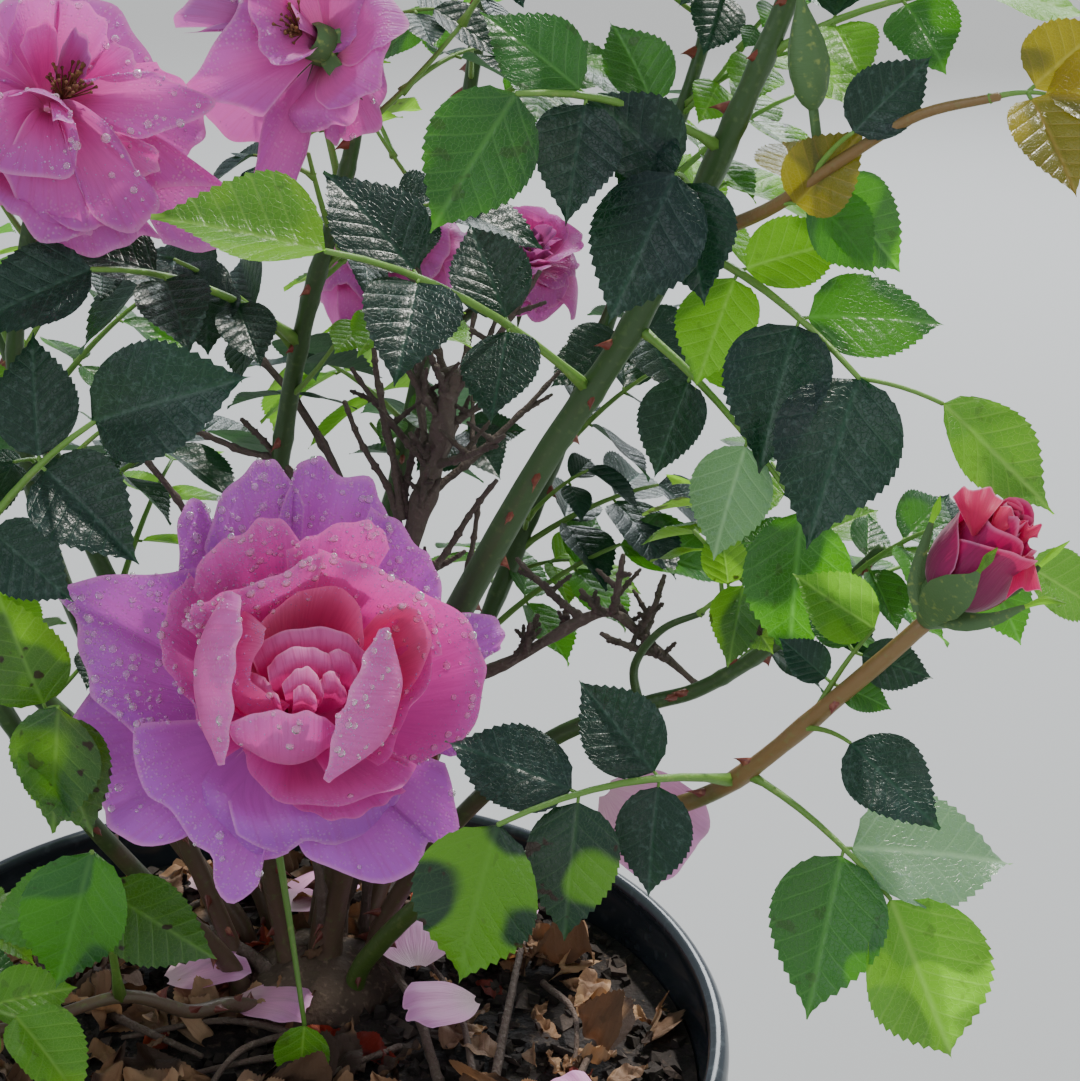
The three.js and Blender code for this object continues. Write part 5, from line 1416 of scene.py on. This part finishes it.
budFrame = np.array([budRight, np.cross(budOut, budRight), budOut])
budFlares = [  # foot, middle and rim of the petals that fold open, in mm right, up and out from the hip
    ([(11, 20.6, 23), (11.4, 20.4, 23.5), (12, 20.6, 23.5)],
     [(8.6, 26, 24), (11.6, 25.4, 26.5), (15.4, 25, 25)],
     [(7, 30.4, 20), (9.4, 32.4, 20), (13, 31.6, 22), (16.4, 31.8, 20), (18.2, 28.6, 19)]),
    ([(15, 20, 22), (15.6, 19.6, 22.5), (16.4, 19.8, 22)],
     [(15.8, 24, 23.5), (17.6, 23, 24.5), (19.4, 22, 23)],
     [(17.4, 28.4, 20), (19.6, 27, 21.5), (21.8, 25.6, 20), (22, 23, 19)]),
    ([(21, 20.6, 18), (22, 19.6, 19), (23.4, 18.8, 18)],
     [(21.6, 22.6, 19), (23.6, 21.4, 20.5), (25, 20, 19)],
     [(21.8, 25, 18), (24, 23.4, 20), (27, 23, 18.5), (27, 20, 17)]),
    ([(21.6, 15.4, 17), (23.4, 15.8, 18), (25.4, 15.6, 16)],
     [(20.6, 11, 20), (23.4, 11.4, 21), (26.4, 11.4, 18)],
     [(18.6, 5, 20), (21.4, 7.4, 21.5), (24.6, 7.6, 21.5), (27.6, 6.6, 18)]),
]
for rows in budFlares:
    u, v = np.linspace(0, 1, 15), np.linspace(0, 1, 11)[:, None, None]
    foot, middle, rim = (pathOf(row)(u) for row in rows)
    grid = foot * (2 * v - 1) * (v - 1) + middle * 4 * v * (1 - v) + rim * v * (2 * v - 1)
    grid += np.sin(u * rng.uniform(10, 16) + rng.uniform(0, 6))[None, :, None] * 0.5 * v ** 2
    uv = np.stack(np.broadcast_arrays(u[None], v[..., 0]), -1)
    addPart(petalHeaps["flare"], redBudHip + grid @ budFrame, gridFaces(11, 15), uv)

budSepals = [  # centre line of each sepal in mm right, up and out from the hip, and its half widths
    ([(0.5, 2, 9), (3.8, 5, 17.5), (8, 7.6, 23), (11.2, 10.2, 26), (12.6, 12, 27), (14.7, 14.9, 28),
      (16.8, 17.4, 29)],
     (3.2, 5.8, 4.6, 1.6, 0.5, 1.3, 0.1)),
    ([(-0.6, 3, 7), (-2.2, 9, 10), (-1, 16, 12), (0.8, 21.5, 14), (1.8, 24.6, 15), (3, 27.6, 16),
      (3.8, 30.6, 17)],
     (2.4, 2.2, 1.5, 1, 0.6, 1.1, 0.1)),
    ([(8, 8, -4), (12, 17, -4), (16, 25, -2), (18.2, 28, 0), (19.4, 29.8, 1), (21.8, 32.6, 2),
      (24.4, 35.6, 3)],
     (2.4, 3, 2, 0.8, 0.5, 0.9, 0.1)),
    ([(6, 2, -3), (14, 6, -3), (22, 9, -1), (26.4, 12.4, 2), (28, 14, 4), (31.2, 17, 5), (34.8, 19.8, 6)],
     (2.4, 3, 2, 0.9, 0.5, 1.0, 0.1)),
    ([(3, 1.6, 7), (9, 0, 12), (16, 0.6, 14), (21.4, 2.8, 15), (24, 3.8, 15.5), (28.4, 5.2, 16),
      (33, 4.4, 17)],
     (2.4, 2.4, 1.7, 0.9, 0.5, 1.1, 0.1)),
]
sepalTipHeap = newHeap()
for line, halves in budSepals:
    for heap, start, end in ((sepalHeap, 0, 0.64), (sepalTipHeap, 0.64, 1)):
        t = np.linspace(start, end, 11)
        u, v = np.meshgrid(np.linspace(-1, 1, 5), np.linspace(0, 1, 11))
        middle = pathOf(line)(t)
        ahead = np.gradient(middle, axis=0)
        across = np.stack([ahead[:, 1], -ahead[:, 0], 0 * t], -1)
        across /= np.linalg.norm(across, axis=1)[:, None]
        half = np.interp(t, np.linspace(0, 1, len(halves)), halves)[:, None] * u
        grid = middle[:, None] + across[:, None] * half[..., None] - 0.3 * np.abs(half)[..., None] * (0, 0, 1)
        addPart(heap, redBudHip + grid @ budFrame, gridFaces(11, 5), np.stack([0.5 + 0.5 * u, v], -1))

# closed green bud on the young shoot
shoot = caneByName["right_tall"]["shoots"][0]
greenAxis = unit(vec(*shoot["bud"]["axis"]))
greenFoot = shoot["curve"](shoot["bud"]["from"])[0]
greenHip = greenFoot + greenAxis * shoot["bud"]["stem"]
greenProfile = [(1.2, -1), (2.6, 0.5), (3.9, 3), (4.6, 7), (4.7, 10), (4.1, 14), (2.9, 18), (1.5, 22),
                (0.7, 25), (0.1, 27)]
addTube(hipHeap, lineOf(greenFoot, greenHip), lambda t: 1.2, 8, 5)
addSpindle(hipHeap, greenHip, greenAxis, greenProfile, 14,
           lambda z, angles: 1 + 0.08 * np.cos(5 * angles) * (z > 5))

bloomNodes = [bloom["name"] for bloom in blooms]
for kind in ("heart", "inner", "cup", "outer", "pale", "wilted"):
    makePiece("petals_" + kind, petalHeaps[kind], petalKinds[kind], bloomNodes)
for kind in ("crimson", "flare"):
    makePiece("petals_" + kind, petalHeaps[kind], petalKinds[kind], ["red_bud"])
makePiece("hips", hipHeap, barkKinds["sepalGreen"])
makePiece("sepals", sepalHeap, barkKinds["sepalGreen"])
# sepal tips take the lit leaf finish: painted sunlight
makePiece("sepal_tips", sepalTipHeap, leafKinds["lit"])
makePiece("stamens", stamenHeap, barkKinds["stamenBrown"])

# dew on the blooms: fine pale beads and larger clear drops, thick on the rims
dewRule = {"count": 8600, "small": 0.2, "large": 1.35, "split": 0.5}
waterMaterial, waterTree = newMaterial("dewWater")
water = principled(waterTree, Base_Color=(1, 0.9, 0.97, 1), Roughness=0.02, IOR=1.33, Transmission_Weight=0.8)
finishMaterial(waterTree, water.outputs[0])
mistMaterial, mistTree = newMaterial("dewMist")
mist = principled(mistTree, Base_Color=rgb(212, 150, 208), Roughness=0.12, IOR=1.33)
finishMaterial(mistTree, mist.outputs[0])
dewHeaps, dewBalls = {}, {}
for kind, (sides, rings) in {"fine": (5, 3), "drops": (9, 6)}.items():
    ball = np.array([(math.sin(a) * math.cos(b), math.sin(a) * math.sin(b), math.cos(a))
                     for a in np.linspace(0.1, 2.1, rings) for b in around(sides)])
    dewHeaps[kind], dewBalls[kind] = newHeap(), (ball, gridFaces(rings, sides, True))
rng = np.random.default_rng(77)
dewShare = []
for points, dew, out, sunny in dewPlaces:
    edge = np.linalg.norm(points[-1, 1:] - points[-1, :-1], axis=1).sum()
    dewShare.append(dew * (1.6 if sunny else 0.5) * edge)
dewShare = np.array(dewShare) / np.sum(dewShare)
for n in range(dewRule["count"]):
    points, dew, out, sunny = dewPlaces[rng.choice(len(dewPlaces), p=dewShare)]
    depth = abs(rng.normal(0, 0.1 + 0.16 * dew))
    i = int(np.clip((1 - depth) * (drawnGrid["rows"] - 1), 7, drawnGrid["rows"] - 2))
    j = int(rng.integers(0, drawnGrid["columns"] - 1))
    a, b = rng.uniform(0, 1, 2)
    p = points[i, j] * (1 - a) * (1 - b) + points[i + 1, j] * a * (1 - b)
    p = p + points[i, j + 1] * (1 - a) * b + points[i + 1, j + 1] * a * b
    normal = unit(np.cross(points[i + 1, j] - points[i, j], points[i, j + 1] - points[i, j]))
    if normal @ out < 0:
        normal = -normal
    r = dewRule["small"] + (dewRule["large"] - dewRule["small"]) * rng.uniform() ** 15
    one, two = axisFrame(normal)
    kind = "drops" if r > dewRule["split"] else "fine"
    ball, quads = dewBalls[kind]
    bead = ball[:, :1] * one + ball[:, 1:2] * two + ball[:, 2:] * normal * 0.85
    addPart(dewHeaps[kind], p + bead * r, quads)
for kind, heap in dewHeaps.items():
    makePiece("dew_" + kind, heap, waterMaterial if kind == "drops" else mistMaterial)

# pot: turned black plastic with a rolled, grooved rim
potShape = {
    "sides": 128,
    "profile": [
        (0, 0), (60, 0), (100, 0), (104.5, 0.8), (107.2, 2.6), (108, 5), (108.6, 9), (110.4, 26),
        (121.5, 130), (131.6, 220), (134.2, 222.4), (137.4, 223.2), (139.2, 224.4), (139.8, 226),
        (139.6, 228), (138.9, 229.4), (139.7, 230.8), (139.9, 234), (139.6, 236.8), (138.4, 238.9),
        (136.6, 239.8), (134.6, 239.6), (133.6, 238.2), (133.4, 236.2), (134.2, 234.2),
        (133.4, 232.2), (132.2, 226), (131.2, 217), (119, 120), (105.6, 3.4), (60, 3), (0, 3),
    ],
}
potMaterial, tree = newMaterial("potPlastic")
spread = mottled(tree, 14.0, 240.0)
dusty = times(tree, ramp(tree, spread["Grain"], 0.52, 0.8), 0.22)
colour = mixed(tree, dusty, rgb(38, 45, 52), rgb(104, 112, 118))
rough = plus(tree, 0.17, times(tree, spread["Patch"], 0.14))
normal = bumped(tree, spread["Grain"], 0.12, 0.0004)
finishMaterial(tree, principled(tree, Base_Color=colour, Roughness=rough, Normal=normal).outputs[0])
potHeap = newHeap()
addSpindle(potHeap, vec(0, 0, 0), vec(0, 0, 1), potShape["profile"], potShape["sides"])
makePiece("pot_wall", potHeap, potMaterial, ["pot"])

# soil: damp crumbly surface with bark, dry leaves, grey twigs and fallen petals
soilMaterial, tree = newMaterial("soilDamp")
spread = mottled(tree, 70.0, 380.0)
colour = mixed(tree, spread["Patch"], rgb(26, 24, 26), rgb(52, 44, 42))
colour = mixed(tree, ramp(tree, spread["Grain"], 0.58, 0.72), colour, rgb(84, 72, 62))
normal = bumped(tree, spread["Grain"], 0.9, 0.002)
finishMaterial(tree, principled(tree, Base_Color=colour, Roughness=0.9, Normal=normal).outputs[0])
soilHeap = newHeap()
soilGrid = {"rings": 44, "sides": 96, "radius": 131}
litterRule = {"crumbs": 1500, "chipEvery": 9, "crumbReach": 127, "leaves": 330, "leafReach": 120,
              "leafEnd": 125}
hills = wobble(31, 9)


def soilHeight(x, y):
    return soilTop + 2.2 * hills(x / 26, y / 26) + 1.4 * hills(x / 7 + 3, y / 7)


radii, angles = np.meshgrid(np.linspace(0, 1, soilGrid["rings"]), around(soilGrid["sides"]), indexing="ij")
x, y = radii * soilGrid["radius"] * np.cos(angles), radii * soilGrid["radius"] * np.sin(angles)
soilQuads = gridFaces(soilGrid["rings"], soilGrid["sides"], True)
addPart(soilHeap, np.stack([x, y, soilHeight(x, y)], -1), soilQuads)
makePiece("soil", soilHeap, soilMaterial, ["potting_soil"])


def turned(angle):
    c, s = math.cos(angle), math.sin(angle)
    return np.array([[c, s], [-s, c]])


chipHeap, crumbHeap = newHeap(), newHeap()
rng = np.random.default_rng(15)
cube = np.array([(a, b, c) for a in (-1, 1) for b in (-1, 1) for c in (-1, 1)], float)
cubeFaces = np.array([(0, 1, 3, 2), (4, 6, 7, 5), (0, 4, 5, 1), (2, 3, 7, 6), (0, 2, 6, 4), (1, 5, 7, 3)])
for n in range(litterRule["crumbs"]):
    far, angle = litterRule["crumbReach"] * math.sqrt(rng.uniform()), rng.uniform(0, 6.28)
    x, y = far * math.cos(angle), far * math.sin(angle)
    isChip = n % litterRule["chipEvery"] == 0
    if isChip:
        size = rng.uniform(1.6, 5) * np.array([1, rng.uniform(0.4, 0.8), rng.uniform(0.15, 0.35)])
    else:
        size = rng.uniform(0.8, 2.4) * rng.uniform(0.6, 1, 3)
    turn = rng.uniform(0, 6.28)
    tilt = rng.normal(0, 0.35)
    body = (cube + rng.normal(0, 0.3, (8, 3))) * size
    body[:, 1:] = body[:, 1:] @ turned(tilt)
    body[:, :2] = body[:, :2] @ turned(turn)
    addPart(chipHeap if isChip else crumbHeap, body + vec(x, y, soilHeight(x, y) + size[2] * 0.6), cubeFaces)
makePiece("bark_chips", chipHeap, barkKinds["barkChip"], smooth=False)
makePiece("soil_crumbs", crumbHeap, barkKinds["soilCrumb"], smooth=False)

litterHeaps = {kind: newHeap() for kind in ("dry", "tan", "rust")}
litterOrder = ["dry", "tan", "dry", "tan", "dry", "rust", "tan", "dry"]
for n in range(litterRule["leaves"]):
    far, angle = litterRule["leafReach"] * math.sqrt(rng.uniform(0.02, 1)), rng.uniform(0, 6.28)
    foot = vec(far * math.cos(angle), far * math.sin(angle), 0)
    foot[2] = soilHeight(foot[0], foot[1]) + rng.uniform(1.5, 7)
    along = unit(heading(rng.uniform(0, 360), rng.uniform(-18, 30)))
    face = squareTo(vec(rng.normal(0, 0.7), rng.normal(0, 0.7), 1), along)
    long = rng.uniform(6, 20) if n % 6 else rng.uniform(20, 30)
    if np.hypot(*(foot + along * long)[:2]) < litterRule["leafEnd"]:
        dryness = {"sag": rng.uniform(-4, 5), "curl": rng.uniform(0.5, 5),
                   "width": rng.uniform(0.35, 0.8), "crumple": rng.uniform(0.04, 0.12)}
        addLeaflet(litterHeaps[litterOrder[n % 8]], foot, along, face, long, **dryness)
for kind, heap in litterHeaps.items():
    makePiece(kind + "_litter", heap, leafKinds[kind])

litterHeap = newHeap()
twigLines = [  # thickness at the foot and the way over the soil
    (1.7, [(-20, -100, 0), (0, -60, 7), (14, -16, 5)]),
    (1.7, [(38, -110, 0), (46, -70, 8), (52, -30, 5)]),
    (1.7, [(-90, -40, 0), (-50, -62, 6), (-4, -66, 4)]),
    (1.7, [(70, -60, 0), (92, -20, 6), (104, 20, 3)]),
    (1.7, [(-70, 50, 0), (-30, 84, 6), (20, 104, 3)]),
    (1.7, [(-30, -30, 2), (10, -44, 8), (52, -80, 3)]),
    (1.7, [(30, 90, 2), (66, 70, 7), (96, 52, 3)]),
    (1.7, [(-104, 20, 0), (-84, 50, 6), (-72, 84, 2)]),
    (1.8, [(53, -12, 2), (42, 24, 9), (24, 60, 8)]),
    (1.6, [(69, -14, 2), (75, 32, 10), (80, 80, 6)]),
    (1.3, [(66, -32, 2), (57, 20, 8), (38, 62, 6)]),
    (3.2, [(4, 32, 3), (-14, 46, 11), (-42, 66, 14)]),
    (2.4, [(-2, 38, 2), (-24, 40, 8), (-50, 48, 7)]),
    (1.5, [(20, 6, 3), (-12, 12, 8), (-46, 8, 4)]),
    (1.5, [(30, -4, 2), (4, -4, 7), (-34, -14, 3)]),
    (1.4, [(14, 16, 3), (-8, -6, 9), (-20, -34, 3)]),
    (1.2, [(40, 8, 2), (20, -14, 7), (4, -40, 2)]),
    (1.8, [(-60, 30, 2), (-44, 12, 6), (-20, 0, 4)]),
    (1.2, [(84, 40, 2), (94, 14, 7), (92, -20, 2)]),
    (1.4, [(56, 60, 3), (72, 50, 8), (98, 60, 3)]),
]
for k, (thick, line) in enumerate(twigLines):
    raised = [(x, y, soilHeight(x, y) + 1.5 + z) for x, y, z in line]
    addTube(litterHeap, pathOf(raised), taper((thick, thick * 0.5)), 8, 34, relief=knotty(k + 60))
makePiece("grey_twigs", litterHeap, barkKinds["deadGrey"])

fallenHeap = newHeap()
fallenRing = {"foot": (0.05, 0.0), "belly": (0.5, 0.12), "rim": (1.0, 0.24), "width": 0.95, "wrap": 2.2,
              "lip": 0.05, "ruffle": 0.06}
fallenPetals = [  # right, back, turn, size and lift
    (-36, 30, 20, 25, 12), (-12, 24, 340, 22, 9), (-4, 78, 40, 26, 9), (44, 34, 95, 27, 15),
    (64, 14, 200, 24, 14), (-24, -66, 170, 22, 9), (24, -52, 300, 25, 9), (52, -64, 20, 22, 9),
    (-56, -52, 100, 24, 9), (-84, -8, 200, 22, 8), (70, 60, 80, 22, 9), (-40, 96, 10, 24, 8),
    (96, -34, 120, 20, 8), (4, -92, 250, 22, 8),
]
for x, y, turn, size, lift in fallenPetals:
    foot = vec(x, y, soilHeight(x, y) + lift)
    lead = heading(turn, 0)
    axis = unit(vec(0.12 * lead[0], 0.12 * lead[1], 1))
    addPetal(fallenHeap, foot, axis, size, math.radians(turn), fallenRing, rng)
across = unit(vec(0.76, 0.1, -0.62))  # one petal hangs over the bud cane
axis = unit(vec(-0.05, -0.9, 0.4))
lead = squareTo(across, axis)
one, two = axisFrame(axis)
turn = math.atan2(lead @ two, lead @ one)
addPetal(fallenHeap, vec(113, -3, 310) - across * 15, axis, 30, turn, fallenRing, rng)
makePiece("fallen_petals", fallenHeap, petalKinds["fallen"])
print("pot and soil made")

# floor, light and camera
stageLook = {"floor": (0.40, 0.41, 0.42, 1), "floorHalf": 40, "floorUnder": -0.0005,
             "air": (0.80, 0.87, 0.95, 1), "airStrength": 0.62, "sunFrom": (0.5, 0.62, 1.25),
             "sunPower": 3.9, "sunSpread": 3}
floorMaterial, tree = newMaterial("paleFloor")
finishMaterial(tree, principled(tree, Base_Color=stageLook["floor"], Roughness=0.9).outputs[0])
half, under = stageLook["floorHalf"], stageLook["floorUnder"]
floorMesh = bpy.data.meshes.new("floor")
corners = ((-half, -half), (half, -half), (half, half), (-half, half))
floorMesh.from_pydata([(x, y, under) for x, y in corners], [], [(0, 1, 2, 3)])
floorMesh.materials.append(floorMaterial)
floor = newObject("floor", floorMesh)

world = bpy.data.worlds.new("air")
world.use_nodes = True
background = world.node_tree.nodes["Background"]
background.inputs[0].default_value = stageLook["air"]
background.inputs[1].default_value = stageLook["airStrength"]
bpy.context.scene.world = world


def newLight(name, data, power, colour, direction):
    data.energy, data.color = power, colour
    light = newObject(name, data)
    light.rotation_euler = Vector(direction).to_track_quat("-Z", "Y").to_euler()
    return light


lampAim = vec(0, 0, 0.35)
lamps = [
    {"name": "leftSoft", "at": (-1.3, -1.0, 1.6), "size": 1.6, "power": 12, "colour": (0.9, 0.95, 1.0)},
    {"name": "backSoft", "at": (0.9, 2.6, 1.9), "size": 1.3, "power": 60, "colour": (0.92, 0.97, 1.0)},
    {"name": "rightSoft", "at": (1.5, -1.3, 1.1), "size": 1.6, "power": 8, "colour": (1.0, 0.98, 0.95)},
]
sunData = bpy.data.lights.new("highBack", "SUN")
sunData.angle = math.radians(stageLook["sunSpread"])
sun = newLight("highBack", sunData, stageLook["sunPower"], (1.0, 0.96, 0.88), -vec(*stageLook["sunFrom"]))
for lamp in lamps:
    data = bpy.data.lights.new(lamp["name"], "AREA")
    data.size = lamp["size"]
    light = newLight(lamp["name"], data, lamp["power"], lamp["colour"], lampAim - vec(*lamp["at"]))
    light.location = lamp["at"]

cameraData = bpy.data.cameras.new("photoView")
cameraData.lens = 66.667
cameraData.sensor_width = 36
camera = newObject("photoView", cameraData)
camera.location = vec(*viewPoint) * mm
camera.rotation_euler = (math.radians(90 - viewPitch), 0, 0)
bpy.context.scene.camera = camera
print("stage made")
